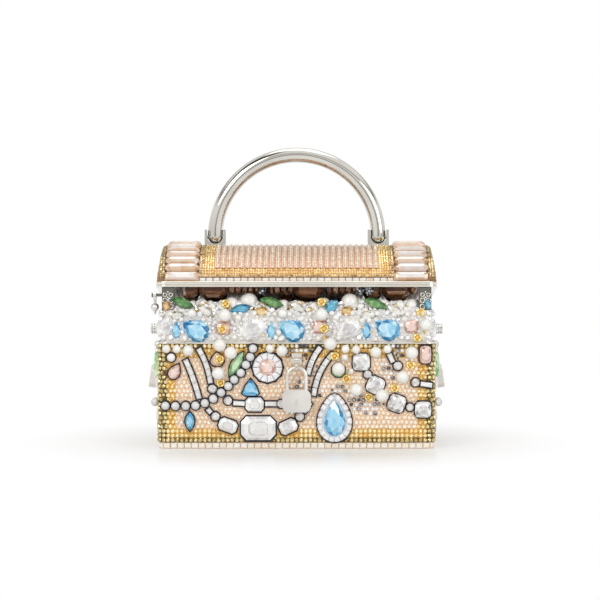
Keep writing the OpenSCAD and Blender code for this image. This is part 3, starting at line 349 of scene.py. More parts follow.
CLEAR = crystal("clear_crystal", (0.34, 0.33, 0.33), (0.77, 0.76, 0.75), (0.93, 0.92, 0.90),
                (1.0, 1.0, 1.0), inner=0.22, cells=600.0)
MIST = crystal("mist_crystal", (0.24, 0.22, 0.17), (0.62, 0.60, 0.52), (0.84, 0.82, 0.76),
               (1.0, 1.0, 0.98), inner=0.3, cells=600.0)
WHITE = crystal("white_crystal", (0.50, 0.50, 0.54), (0.84, 0.84, 0.86), (0.93, 0.93, 0.94),
                (1.0, 1.0, 1.0), inner=0.12, cells=420.0)
BLACK = crystal("dark_crystal", (0.004, 0.004, 0.006), (0.015, 0.016, 0.022), (0.05, 0.055, 0.07),
                (0.5, 0.52, 0.56), coat=0.25)
LID_GOLD = crystal("lid_gold_bead", (0.30, 0.14, 0.02), (0.62, 0.36, 0.05), (0.80, 0.54, 0.13),
                   (1.0, 0.86, 0.45), inner=0.7, cells=700.0, metallic=0.4, coat=0.15)
LID_OLIVE = crystal("lid_olive_bead", (0.05, 0.03, 0.006), (0.24, 0.16, 0.035), (0.42, 0.31, 0.09),
                    (0.86, 0.74, 0.40), inner=0.6, cells=700.0, metallic=0.4, coat=0.15)
PEACH = crystal("peach_crystal", (0.64, 0.40, 0.26), (0.94, 0.68, 0.46), (0.98, 0.83, 0.64),
                (1.0, 0.96, 0.86), inner=0.2, cells=1300.0, coat=0.5)
RIB_PEACH = crystal("rib_crystal", (0.36, 0.24, 0.15), (0.64, 0.50, 0.37), (0.80, 0.68, 0.54),
                    (1.0, 0.94, 0.82), inner=0.25, cells=1300.0, metallic=0.1, coat=0.15)
SALMON = crystal("salmon_crystal", (0.42, 0.19, 0.07), (0.78, 0.54, 0.35), (0.72, 0.66, 0.64),
                 (1.0, 0.96, 0.90), inner=0.2, cells=200.0, metallic=0.05, coat=0.2)
CREAM = crystal("cream_crystal", (0.76, 0.52, 0.34), (0.96, 0.84, 0.68), (1.0, 0.94, 0.84),
                (1.0, 1.0, 0.96), inner=0.15, cells=420.0)
GOLD_BEAD = crystal("gold_bead", (0.46, 0.20, 0.01), (0.86, 0.50, 0.09), (0.97, 0.72, 0.28),
                    (1.0, 0.94, 0.66), inner=0.25, cells=1300.0, metallic=0.4, coat=0.3)
OLIVE = crystal("olive_bead", (0.05, 0.03, 0.006), (0.32, 0.22, 0.05), (0.56, 0.42, 0.14),
                (0.92, 0.80, 0.46), inner=0.3, cells=1300.0, metallic=0.4, coat=0.3)
CHROME = polished("bright_chrome", (0.70, 0.68, 0.63), 0.05, 0.1)
PALE_GOLD = polished("champagne_plate", (0.80, 0.76, 0.69), 0.16)
RIM_GOLD = polished("rim_plate", (0.86, 0.82, 0.74), 0.10, 0.1)
STEEL = polished("steel", (0.55, 0.55, 0.55), 0.2)
SATIN = polished("satin_silver", (0.82, 0.79, 0.75), 0.34, 0.5)
# Dark metal for the rest posts: painted shade of the recess under the lid where they stand.
RECESS_SHADE = polished("recess_painted_shade", (0.20, 0.19, 0.17), 0.3)
# Dark brown metal for the plate under the lid: painted shade and dark reflection of the lid's shaded
# underside.
UNDERSIDE_SHADE = polished("underside_painted_shade", (0.40, 0.29, 0.21), 0.2)
CHAIN_GOLD = polished("chain_gold", (0.93, 0.70, 0.28), 0.12)
DARK_LINE = polished("dark_line", (0.045, 0.05, 0.065), 0.3)
PEARL = pearl_lustre("pearl_lustre", (0.96, 0.95, 0.91), (0.90, 0.88, 0.83), (0.80, 0.77, 0.72))
GREY_PEARL = pearl_lustre("grey_pearl_lustre", (0.82, 0.83, 0.82), (0.70, 0.71, 0.71), (0.52, 0.52, 0.53))
LINING = leather("lining_leather", (0.62, 0.44, 0.32), (0.46, 0.30, 0.20))
AMBER_BED = glue_bed("amber_bed", (0.72, 0.47, 0.30), (0.92, 0.70, 0.52))
GOLD_BED = glue_bed("gold_bed", (0.50, 0.25, 0.04), (0.78, 0.46, 0.12))
BRONZE_BED = glue_bed("bronze_bed", (0.20, 0.11, 0.05), (0.42, 0.27, 0.15))
CORAL_BED = glue_bed("coral_bed", (0.46, 0.21, 0.10), (0.70, 0.42, 0.26))
OLIVE_BED = glue_bed("olive_bed", (0.06, 0.035, 0.01), (0.20, 0.12, 0.035))
FOOT_BED = glue_bed("foot_bed", (0.58, 0.40, 0.24), (0.84, 0.68, 0.50))
SHADE_BED = glue_bed("shade_bed", (0.56, 0.56, 0.58), (0.76, 0.76, 0.78))
SILVER_BED = glue_bed("silver_bed", (0.78, 0.75, 0.70), (0.95, 0.93, 0.89))


# Meshes


def part(points, faces, tones, material=0):
    """One shape: a point array, face arrays with one corner count each, and a tone for every face."""
    return {"points": np.asarray(points, float), "faces": faces, "tones": tones, "material": material}


def make_piece(name, parts, body, materials, stands_for=(), smooth=False):
    """Joins parts into one mesh object in metres, with each face's tone, riding on a body."""
    points = np.concatenate([p["points"] for p in parts]) * MM
    starts = np.cumsum([0] + [len(p["points"]) for p in parts[:-1]])
    faces = []
    tones = []
    picks = []
    for shape, start in zip(parts, starts):
        for group, tone in zip(shape["faces"], shape["tones"]):
            faces.extend((np.asarray(group) + start).tolist())
            tones.append(np.asarray(tone, float))
            picks.append(np.full(len(group), shape["material"]))
    mesh = bpy.data.meshes.new(name)
    mesh.from_pydata(points.tolist(), [], faces)
    tone_values = np.concatenate(tones).astype(np.float32)
    mesh.attributes.new("tone", "FLOAT", "FACE").data.foreach_set("value", tone_values)
    for material in materials:
        mesh.materials.append(material)
    mesh.polygons.foreach_set("material_index", np.concatenate(picks).astype(np.int32))
    mesh.polygons.foreach_set("use_smooth", np.full(len(faces), smooth))
    mesh.update()
    piece = put_in_scene(name, mesh)
    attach(piece, body)
    if stands_for:
        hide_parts(*stands_for)


def circle(turn):
    """Flat points of the unit circle at angles."""
    return np.stack([np.cos(turn), np.sin(turn)], axis=1)


def raised(flat, height):
    """Flat points at a height."""
    return np.c_[flat, np.full(len(flat), height)]


def grid_of(first, second):
    """Every pair of two rows of numbers, as two arrays, the second number changing fastest."""
    return [numbers.ravel() for numbers in np.meshgrid(first, second, indexing="ij")]


def box_middle(points):
    """The middle of the least box round points."""
    return (points.max(axis=0) + points.min(axis=0)) / 2


def length_of(vectors):
    """Lengths of row vectors, as a column."""
    return np.linalg.norm(vectors, axis=1, keepdims=True)


def ring_walls(n, rows, closed=False, whole=True):
    """Quads between rows of n points: closed joins the last row to the first, and whole joins a row's own
    ends."""
    i = np.arange(n if whole else n - 1)
    j = (i + 1) % n
    lows = range(rows if closed else rows - 1)
    return np.concatenate([np.stack([k * n + i, k * n + j, (k + 1) % rows * n + j, (k + 1) % rows * n + i],
                                    axis=1) for k in lows])


def plain(points, faces, tone):
    """A shape with the same tone all over."""
    return part(points, faces, [np.full(len(group), tone) for group in faces])


def prism(low, high, tone):
    """A closed solid between two rings with equally many corners."""
    i = np.arange(len(low))
    ends = np.stack([len(low) + i, i[::-1]])
    return plain(np.concatenate([low, high]), [ring_walls(len(low), 2), ends], tone)


def slab(middle, half):
    """A plain box from its middle and half sizes."""
    corners = np.array([[-1.0, -1.0], [1.0, -1.0], [1.0, 1.0], [-1.0, 1.0]])
    low, high = [raised(corners, sign) * np.array(half) + np.array(middle) for sign in (-1.0, 1.0)]
    return prism(low, high, 0.3)


def corners_of(mesh):
    """A mesh's corners in metres, and the corner numbers of its triangles."""
    corners = np.zeros(len(mesh.vertices) * 3)
    mesh.vertices.foreach_get("co", corners)
    triangles = np.zeros(len(mesh.loops), np.int64)
    mesh.loops.foreach_get("vertex_index", triangles)
    return corners.reshape(-1, 3), triangles.reshape(-1, 3)


def islands(node):
    """The separate solids of a node, each as its corner array in millimetres: equal corners share a number,
    and the least number spreads along the triangles until nothing changes."""
    corners, triangles = corners_of(nodes[node].data)
    microns = np.round(corners * 1e6).astype(np.int64)
    keys, inverse = np.unique(microns, axis=0, return_inverse=True)
    triangles = inverse.reshape(-1)[triangles]
    label = np.arange(len(keys))
    while True:
        low = label[triangles].min(axis=1)
        spread = label.copy()
        for k in range(3):
            np.minimum.at(spread, triangles[:, k], low)
        spread = spread[spread]
        if np.array_equal(spread, label):
            break
        label = spread
    return [keys[label == number] / 1000.0 for number in np.unique(label)]


def boxes_of(node):
    """The low and the high corners of a node's solids, one row each."""
    found = islands(node)
    return np.array([c.min(axis=0) for c in found]), np.array([c.max(axis=0) for c in found])


def to_lid(points):
    """From the lid's own frame, hinge axis at its origin, to where the lid rests."""
    y = HINGE_Y + points[:, 1] * math.cos(TILT) + points[:, 2] * math.sin(TILT)
    z = HINGE_Z - points[:, 1] * math.sin(TILT) + points[:, 2] * math.cos(TILT)
    return np.stack([points[:, 0], y, z], axis=1)


def from_lid(points):
    """The other way: from where the lid rests to its own frame."""
    y = points[:, 1] - HINGE_Y
    z = points[:, 2] - HINGE_Z
    own_y = y * math.cos(TILT) - z * math.sin(TILT)
    own_z = y * math.sin(TILT) + z * math.cos(TILT)
    return np.stack([points[:, 0], own_y, own_z], axis=1)


def lid_axes(*axes):
    """Directions of the lid's own frame, one or many each, as they stand when the lid rests."""
    return [to_lid(np.reshape(axis, (-1, 3))) - np.array([0.0, HINGE_Y, HINGE_Z]) for axis in axes]


def level_axes(ways):
    """Sideways, up and out axes, one row each, for level outward directions."""
    out = raised(ways, 0.0)
    return np.cross(UP, out), np.broadcast_to(UP, out.shape), out


def seat(points, corner, axes):
    """Places local points (across, up, out) at a corner with three axes."""
    side, up, out = axes
    return corner + points[:, :1] * side + points[:, 1:2] * up + points[:, 2:3] * out


def hull_order(flat):
    """The outline's corners in order of their angle round their middle, anticlockwise."""
    from_middle = flat - box_middle(flat)
    return flat[np.argsort(np.arctan2(from_middle[:, 1], from_middle[:, 0]))]


def stones_of(node, half):
    """Each stone of a node on the walls of a box: its seat, three axes, its outline and its height."""
    found = []
    for corners in islands(node):
        middle = box_middle(corners)
        over = int(abs(middle[0]) - half[0] <= abs(middle[1]) - half[1])
        normal = np.zeros(3)
        normal[over] = math.copysign(1.0, middle[over])
        side = np.cross(UP, normal)
        up = np.cross(normal, side)
        out = corners @ normal
        base = out.min()
        low = corners[out < base + 0.02]
        flat = np.unique(np.round(np.stack([low @ side, low @ up], axis=1), 3), axis=0)
        shift = box_middle(flat)
        found.append({
            "count": len(corners),
            "seat": side * shift[0] + up * shift[1] + normal * base,
            "axes": (side, up, normal),
            "outline": hull_order(flat - shift),
            "height": out.max() - base,
            "box": (corners.min(axis=0), corners.max(axis=0)),
        })
    return found


def rounder(outline):
    """Twice the corners of an outline: a cubic through four neighbours gives each new one between two."""
    before, after, second = [np.roll(outline, k, axis=0) for k in (1, -1, -2)]
    between = (9 * outline + 9 * after - before - second) / 16
    return np.stack([outline, between], axis=1).reshape(-1, 2)


def varied(level, spread, count):
    """Tones round a level, kept from nought to one."""
    return np.clip(level + spread * (chance.random(count) - 0.5), 0.0, 1.0)


def brilliant(outline, height, table=0.58, tones=(0.45, 0.55), lift=0.2):
    """A brilliant-cut stone over an outline with an even count of corners: a girdle wall, kites from each
    second corner to the table, half facets beside them, star facets, and a fan for the table."""
    girdle, crown = 0.25, 0.66
    n = len(outline)
    m = n // 2
    points = np.concatenate([
        raised(outline, 0.0),
        raised(outline, height * girdle),
        raised(outline[1::2] * (0.5 + table / 2), height * crown),
        raised(outline[0::2] * table, height),
        [[0.0, 0.0, height]],
    ])
    main = np.arange(m)
    following = (main + 1) % m
    edge = n + 2 * main
    middle = 2 * n + main
    top = 2 * n + m + main
    next_top = 2 * n + m + following
    kites = np.stack([edge, middle, top, 2 * n + (main - 1) % m], axis=1)
    stars = np.stack([top, middle, next_top], axis=1)
    half_a = np.stack([edge, edge + 1, middle], axis=1)
    half_b = np.stack([edge + 1, n + 2 * following, middle], axis=1)
    fan = np.stack([np.full(m, 2 * n + 2 * m), top, next_top], axis=1)
    # Facet tones are painted light and shade: the girdle wall darker, the kites at the level, star facets
    # lighter, half facets darker, and the table moved by lift, a painted highlight when lift is above
    # nought.
    level, spread = tones
    quad_tones = np.concatenate([varied(level + bias, spread * width, count)
                                 for count, bias, width in ((n, -0.25, 0.6), (m, 0.0, 1.6))])
    tri_tones = np.concatenate([varied(level + bias, spread * width, m) for bias, width in
                                ((0.1, 1.4), (-0.15, 1.4), (-0.15, 1.4), (lift, 0.35))])
    back = np.arange(n)[::-1].reshape(1, -1)
    quads = np.concatenate([ring_walls(n, 2), kites])
    triangles = np.concatenate([stars, half_a, half_b, fan])
    return points, [quads, triangles, back], [quad_tones, tri_tones, np.zeros(1)]


def step_cut(outline, height, table=0.5, tones=(0.5, 0.6), keel=0.42, lift=0.4, frame_tone=0.12):
    """A step-cut stone over an outline: a girdle wall and two steps to the table, all edges in line, and
    the table split by the keel facets seen through it."""
    n = len(outline)
    levels = ((1.0, 0.0), (1.0, 0.28), (0.5 + table * 0.55, 0.68), (table, 1.0), (table * keel, 1.0))
    points = np.concatenate([raised(outline * share, height * up) for share, up in levels])
    # Facet tones are painted light and shade: the girdle wall darkest, each step lighter upward, the table's
    # outer ring at frame_tone, and its heart moved by lift, a painted highlight when lift is above nought.
    level, spread = tones
    walls = np.concatenate([varied(level + bias, 0.1 if bias < -0.3 else spread, n)
                            for bias in (-0.3, -0.1, 0.12, frame_tone)])
    ring = np.arange(n)
    heart = min(1.0, level + lift + 0.3 * (chance.random() - 0.5))
    return points, [ring_walls(n, 5), np.stack([4 * n + ring, ring[::-1]])], [walls, np.array([heart, 0.0])]


def gem_parts(stones, cut, materials=None, grow=1.0, **how):
    """Cuts one stone over each seat, its outline grow times as large, one number for both ways or one for
    each. A cut is brilliant or step_cut, and materials picks a slot for each stone."""
    parts = []
    for index, stone in enumerate(stones):
        outline = stone["outline"] * np.array(grow)
        if cut is brilliant:
            outline = rounder(outline)
        points, faces, tones = cut(outline, stone["height"], **how)
        placed = seat(points, stone["seat"], stone["axes"])
        parts.append(part(placed, faces, tones, 0 if materials is None else materials[index]))
    return parts


def bead_template(sides, waist, top, corner=0.0):
    """A faceted dome of unit radius and height: base, waist and top rings, closed by a flat at each end."""
    i = np.arange(sides)
    ring = circle((i + corner) * 2 * math.pi / sides)
    points = np.concatenate([raised(ring, 0.0), raised(ring * waist[0], waist[1]), raised(ring * top, 1.0)])
    return points, ring_walls(sides, 3), np.stack([2 * sides + i, i[::-1]])


def repeated(faces, count, step):
    """The faces of one shape for count shapes whose points follow one another in steps."""
    return (faces + (np.arange(count) * step)[:, None, None]).reshape(-1, faces.shape[1])


def bead_field(centres, axes, radii, heights, template, tones=(0.55, 0.5), material=0):
    """The same bead at every centre: a point is the centre plus the template's three numbers, each times
    its radius or the height, along the bead's side, up and out axes. A pair of radii is across and up, and
    axes, radii and heights are one for all or one for each."""
    points, walls, cap = template
    wide, tall = radii if isinstance(radii, tuple) else (radii, radii)
    placed = centres[:, None, :]
    for k, (axis, size) in enumerate(zip(axes, (wide, tall, heights))):
        along = points[None, :, k] * np.reshape(size, (-1, 1))
        placed = placed + along[..., None] * np.reshape(axis, (-1, 1, 3))
    count = len(centres)
    level, spread = tones
    # The tones are painted light and shade: the lower walls darker than the upper ones, the top lighter
    # still as a painted highlight, and the flat base darkest.
    own = chance.random(count)[:, None] * 0.35
    wall_tone = level + np.repeat([-0.22, 0.02], len(walls) // 2) + own
    wall_tone = wall_tone + spread * (chance.random((count, len(walls))) - 0.5)
    cap_tone = level + 0.15 + own + spread * (chance.random((count, 1)) - 0.5) + np.array([[0.0, -0.6]])
    return part(placed.reshape(-1, 3), [repeated(f, count, len(points)) for f in (walls, cap)],
                [np.clip(t, 0, 1).reshape(-1) for t in (wall_tone, cap_tone)], material)


def ball_field(centres, radii, rings, around):
    """Small spheres: rows of latitude rings closed by a point at each end."""
    lat = np.linspace(0, math.pi, rings + 2)[1:-1]
    lon = np.arange(around) * 2 * math.pi / around
    grid = np.stack([np.outer(np.sin(lat), np.cos(lon)), np.outer(np.sin(lat), np.sin(lon)),
                     np.outer(np.cos(lat), np.ones(around))], axis=-1).reshape(-1, 3)
    points = np.concatenate([grid, [[0, 0, 1.0], [0, 0, -1.0]]])
    i = np.arange(around)
    j = (i + 1) % around
    last = (rings - 1) * around
    top = np.stack([i, j, np.full(around, rings * around)], axis=1)
    low = np.stack([last + j, last + i, np.full(around, rings * around + 1)], axis=1)
    shapes = (ring_walls(around, rings)[:, [0, 3, 2, 1]], np.concatenate([top, low]))
    faces = [repeated(f, len(centres), len(points)) for f in shapes]
    placed = centres[:, None, :] + points * np.reshape(radii, (-1, 1, 1))
    return plain(placed.reshape(-1, 3), faces, 0.5)


def ring_part(centre, side, up, radius, wire, around=28, wires=10):
    """A torus: a circle of a radius in the plane of two axes, carrying a small circle of wire."""
    turn = np.arange(around) * 2 * math.pi / around
    small = np.arange(wires) * 2 * math.pi / wires
    out = np.cross(side, up)
    radial = np.cos(turn)[:, None] * side + np.sin(turn)[:, None] * up
    points = (centre + radial[:, None, :] * (radius + wire * np.cos(small))[None, :, None]
              + out[None, None, :] * (wire * np.sin(small))[None, :, None])
    return plain(points.reshape(-1, 3), [ring_walls(wires, around, closed=True)[:, [0, 3, 2, 1]]], 0.5)


def round_rect(half, corner, samples=64):
    """A rectangle with rounded corners as a dense path from the middle of its front, anticlockwise from
    above: positions, outward normals and arc lengths."""
    a, b = half[0] - corner, half[1] - corner
    turn = np.linspace(0, math.pi / 2, samples)
    front = np.array([[0.0, -half[1]]])
    facing = np.array([[0.0, -1.0]])
    ways = [circle(start + turn) for start in (-math.pi / 2, 0.0, math.pi / 2, math.pi)]
    middles = ((a, -b), (a, b), (-a, b), (-a, -b))
    arcs = [np.array(middle) + corner * way for middle, way in zip(middles, ways)]
    spots = np.concatenate([front] + arcs + [front])
    normals = np.concatenate([facing] + ways + [facing])
    length = np.concatenate([[0.0], np.cumsum(np.linalg.norm(np.diff(spots, axis=0), axis=1))])
    return spots, normals, length


def along_path(path, where):
    """Positions and unit normals at arc lengths along a path."""
    spots, normals, length = path
    where = np.mod(where, length[-1])
    place, way = [np.stack([np.interp(where, length, line[:, k]) for k in range(2)], axis=1)
                  for line in (spots, normals)]
    return place, way / length_of(way)


def sweep(half, corner, profile):
    """A closed moulding round a rounded rectangle: each (offset, height) of its profile is carried along
    the outline, and the profile runs clockwise as seen with the object to its left."""
    path = round_rect(half, corner, 12)
    spots, normals = path[0][:-1], path[1][:-1]
    points = np.concatenate([raised(spots + normals * off, z) for off, z in profile])
    return plain(points, [ring_walls(len(spots), len(profile), closed=True)], 0.3)


def belt(half, corner, low, high, inner, outer):
    """A band round a rounded rectangle, between two heights and two offsets from its outline."""
    return sweep(half, corner, ((inner, low), (outer, low), (outer, high), (inner, high)))


def edge_normals(outline):
    """Outward unit normals of the edges of an anticlockwise outline."""
    edge = np.roll(outline, -1, axis=0) - outline
    return np.stack([edge[:, 1], -edge[:, 0]], axis=1) / length_of(edge)


def outside(points, outline):
    """Distance of flat points from a convex outline with anticlockwise corners, less than nought inside."""
    normal = edge_normals(outline)
    return ((points[:, None, :] - outline[None]) * normal[None]).sum(axis=-1).max(axis=1)


def widened(outline, by):
    """A convex anticlockwise outline moved outward by a distance: each corner along the mean of the normals
    of its two edges."""
    normal = edge_normals(outline)
    before = np.roll(normal, 1, axis=0)
    share = 1.0 + (normal * before).sum(axis=1, keepdims=True)
    return outline + by * (normal + before) / np.maximum(share, 0.6)


def clear_of(points, normals, stones, gap):
    """Which points on the walls have no stone over them: each is tested against the outline of every stone
    that faces the same way."""
    keep = np.ones(len(points), bool)
    for stone in stones:
        side, up, normal = stone["axes"]
        same = normals @ normal > SAME_WAY
        flat = np.stack([(points - stone["seat"]) @ side, (points - stone["seat"]) @ up], axis=1)
        keep &= ~(same & (outside(flat, stone["outline"]) < gap))
    return keep


BEAD = bead_template(8, (0.94, 0.45), 0.52)
SMALL_BEAD = bead_template(6, (0.92, 0.5), 0.5, 0.5)
BLOCK = bead_template(4, (0.90, 0.55), 0.62, 0.5)


# The case and its beads


def picked(beads, keep):
    """The same rows of every array of a set of beads."""
    return {key: rows[keep] for key, rows in beads.items()}


def wall_beads(path, where, height, sunk):
    """A set of beads on a wall, at arc lengths and heights, sunk into it: places in plan, centres, axes."""
    place, way = along_path(path, where)
    side, up, out = level_axes(way)
    centre = raised(place, height) - sunk * out
    return {"place": place, "centre": centre, "side": side, "up": up, "out": out}


def beads_from(beads, height, template=BEAD, tones=(0.55, 0.5)):
    """The beads of a set, with its centres, axes and radii."""
    axes = (beads["side"], beads["up"], beads["out"])
    return bead_field(beads["centre"], axes, beads["radius"], height, template, tones)


def photo_x(u):
    """Millimetres across the front for a place across the photograph."""
    return (np.asarray(u) - PHOTO_MIDDLE) * (2 * LID_HALF[0]) / LID_PIXELS


def photo_z(v):
    """Height on the front for a place down the photograph."""
    return (PHOTO_FOOT - np.asarray(v)) * CASE_HIGH / CASE_PIXELS


def halo_stones():
    """The halo's ring as twelve wedges side by side, from the cushion stone out to the ring's own width."""
    ring = stones_of("halo_ring", CASE_HALF)[0]
    side, up, _ = ring["axes"]
    count = 12
    gap = 0.012
    inner_share = 0.54
    outer = length_of(ring["outline"]).max()
    inner = inner_share * outer
    span = np.array([-1.0, 1.0]) * (math.pi / count - gap)
    stones = []
    for k in range(count):
        middle = (k + 0.5) * 2 * math.pi / count
        outline = np.concatenate([circle(middle + span) * outer, circle(middle - span) * inner])
        shift = box_middle(outline)
        moved = ring["seat"] + side * shift[0] + up * shift[1]
        stones.append(dict(ring, outline=outline - shift, seat=moved))
    return stones


def front_settings():
    """Every stone of the front that stands in a dark outline."""
    names = ("front_octagons", "front_cushions", "front_rounds", "front_baguettes", "front_colour_stones",
             "teardrop_ring", "teardrop_stone")
    return [stone for name in names for stone in stones_of(name, CASE_HALF)] + halo_stones()


def outlined_pearls():
    """Places and radii of the grey pearls, and of the one white pearl that has a dark outline too."""
    white = np.array([photo_x(171.0), photo_z(357.4)])
    near = 1.0
    end_room = 1.5
    spots = []
    radii = []
    for node in ("grey_pearl_string", "front_pearls"):
        low, high = boxes_of(node)
        middle = ((low + high) / 2)[:, [0, 2]]
        keep = np.abs(middle[:, 0]) <= CASE_HALF[0] - end_room
        if node == "front_pearls":
            keep &= np.linalg.norm(white - middle, axis=1) <= near
        spots.append(middle[keep])
        radii.append((high[keep, 2] - low[keep, 2]) / 2)
    return np.concatenate(spots), np.concatenate(radii)


def pearls_clear(points, normals, gap):
    """Which points of the front keep a gap from every pearl that has a dark outline."""
    spots, radii = outlined_pearls()
    span = np.linalg.norm(points[:, None, [0, 2]] - spots[None], axis=2) - radii[None] - PEARL_OUTLINE_WIDE
    return (span.min(axis=1) > gap) | (normals[:, 1] > -SAME_WAY)


def gap_to(points, others):
    """How far each point is from the nearest of other points, worked out in blocks."""
    block = 200
    gap = np.full(len(points), np.inf)
    for start in range(0, len(others), block):
        span = np.linalg.norm(points[:, None] - others[None, start:start + block], axis=2)
        gap = np.minimum(gap, span.min(axis=1))
    return gap


def jittered_grid(width, low, high, pitch, jitter):
    """Hexagonal places over a strip, each moved a little at random."""
    columns = int(width / pitch)
    rows = max(1, int((high - low) / (pitch * HEX_RISE)))
    row, column = grid_of(np.arange(rows), np.arange(columns))
    across = (column + 0.5 * (row % 2)) * width / columns
    flat = np.stack([across, low + (row + 0.5) * (high - low) / rows], axis=1)
    return flat + (chance.random(flat.shape) - 0.5) * jitter


def bead_border(place, row_count, row):
    """Which places on the case are olive and which gold: the outer row or strip, and the next two rows.
    Near the rim the outer row is olive and peach in turn."""
    olive_edge, gold_edge = 3.8, 9.2
    olive_rows, gold_rows = 0.6, 2.6
    inset = CASE_HALF - np.abs(place)
    on_wall = np.abs(inset) < 0.01
    edge = np.where(on_wall[:, 1], inset[:, 0], inset[:, 1])
    edge = np.where(on_wall.any(axis=1), edge, 0.0)
    from_end = np.minimum(row, row_count - 1 - row)
    mixed_top = (row > 2) & (np.sin(place.sum(axis=1) * 7.3) > 0.1)
    olive = ((from_end < olive_rows) & ~mixed_top) | (edge < olive_edge)
    gold = ~olive & ((from_end < gold_rows) | (edge < gold_edge))
    return olive, gold


def near_clusters(beads):
    """Which beads of the front stand in one of the photograph's clusters of small dark crystals."""
    near = np.zeros(len(beads["centre"]), bool)
    for u, v, wide, high in DARK_CLUSTERS:
        flat_x = (beads["centre"][:, 0] - photo_x(u)) / (wide * PIXEL)
        flat_z = (beads["centre"][:, 2] - photo_z(v)) / (high * PIXEL)
        near |= (flat_x ** 2 + flat_z ** 2 < 1.0) & (beads["out"][:, 1] < -SAME_WAY)
    return near


def case_rows(path, rows, rise, settings):
    """The large beads of the case: straight rows near the foot and the rim, jittered ones between them,
    and none under a stone."""
    pitch, sunk = 2.46, 0.25
    jitter_across, jitter_up = 0.5, 0.35
    stone_room, pearl_room, side_room = 1.12, 0.95, 0.9
    radius, spread = 1.2, 0.1
    total = path[2][-1]
    count = int(round(total / pitch))
    row, column = grid_of(np.arange(rows), np.arange(count))
    inner_row = (row > 2) & (row < rows - 3)
    where = (column + 0.5 * (row % 2) * inner_row) * total / count
    where = where + inner_row * (chance.random(len(row)) - 0.5) * jitter_across
    height = FOOT_HIGH + (row + 0.5) * rise + inner_row * (chance.random(len(row)) - 0.5) * jitter_up
    beads = dict(wall_beads(path, where, height, sunk), row=row)
    keep = clear_of(beads["centre"], beads["out"], settings, OUTLINE_WIDE + stone_room)
    keep &= pearls_clear(beads["centre"], beads["out"], pearl_room)
    keep &= clear_of(beads["centre"], beads["out"], stones_of("side_stones", CASE_HALF), side_room)
    return dict(picked(beads, keep), radius=radius + spread * (chance.random(keep.sum()) - 0.5))


def case_corners(path, rise, settings, large):
    """The small beads of the front, in the corners that the settings and the large beads leave. Each keeps
    its distance, counted as the sum of its three differences, from the ones chosen lately."""
    pitch, jitter, sunk, end = 0.8, 0.25, 0.2, 0.5
    stone_room, pearl_room, large_room, own_room = 0.62, 0.6, 1.72, 1.35
    radius, spread = 0.60, 0.16
    flat_front = -0.99
    lately = 60
    flat = jittered_grid(path[2][-1], FOOT_HIGH + end, CASE_HIGH - end, pitch, jitter)
    beads = wall_beads(path, flat[:, 0], flat[:, 1], sunk)
    beads["row"] = (flat[:, 1] - FOOT_HIGH) / rise - 0.5
    beads = picked(beads, beads["out"][:, 1] < flat_front)
    centres = beads["centre"]
    keep = clear_of(centres, beads["out"], settings, OUTLINE_WIDE + stone_room)
    keep &= pearls_clear(centres, beads["out"], pearl_room)
    keep &= gap_to(centres, large["centre"][large["out"][:, 1] < flat_front]) > large_room
    chosen = []
    for index in np.flatnonzero(keep):
        if all(np.abs(centres[index] - centres[other]).sum() > own_room for other in chosen[-lately:]):
            chosen.append(index)
    return dict(picked(beads, np.array(chosen)), radius=radius + spread * chance.random(len(chosen)))


def case_beads():
    """Rows of faceted beads round the case: a peach field in gold and olive borders, small dark and clear
    crystals where the photograph has them, and smaller beads in the corners that the settings leave."""
    path = round_rect(CASE_HALF, CASE_CORNER)
    row_pitch = 2.42
    dark_share, clear_share = 0.56, 0.92
    tall = CASE_HIGH - FOOT_HIGH
    rows = int(round(tall / row_pitch))
    rise = tall / rows
    settings = front_settings()
    large = case_rows(path, rows, rise, settings)
    small = case_corners(path, rise, settings, large)
    kinds = (("peach", PEACH, "peach_crystal"), ("gold", GOLD_BEAD, "bead_covering"),
             ("olive", OLIVE, "bead_covering"), ("dark", BLACK, "smoky_crystal"),
             ("clear", CLEAR, "clear_crystal"))
    parts = {key: [] for key, _, _ in kinds}
    for beads, height in ((large, 0.95), (small, 0.75)):
        olive, gold = bead_border(beads["place"], rows, beads["row"])
        draw = chance.random(len(olive))
        near = near_clusters(beads) & ~olive
        dark = near & (draw < dark_share)
        clear = near & (draw >= dark_share) & (draw < clear_share)
        plain_gold = gold & ~dark & ~clear
        peach = ~olive & ~gold & ~dark & ~clear
        for key, pick in (("olive", olive), ("gold", plain_gold), ("dark", dark), ("clear", clear),
                          ("peach", peach)):
            parts[key].append(beads_from(picked(beads, pick), height))
    for key, material, slot in kinds:
        make_piece("case_beads_" + key, parts[key], "case", [material])


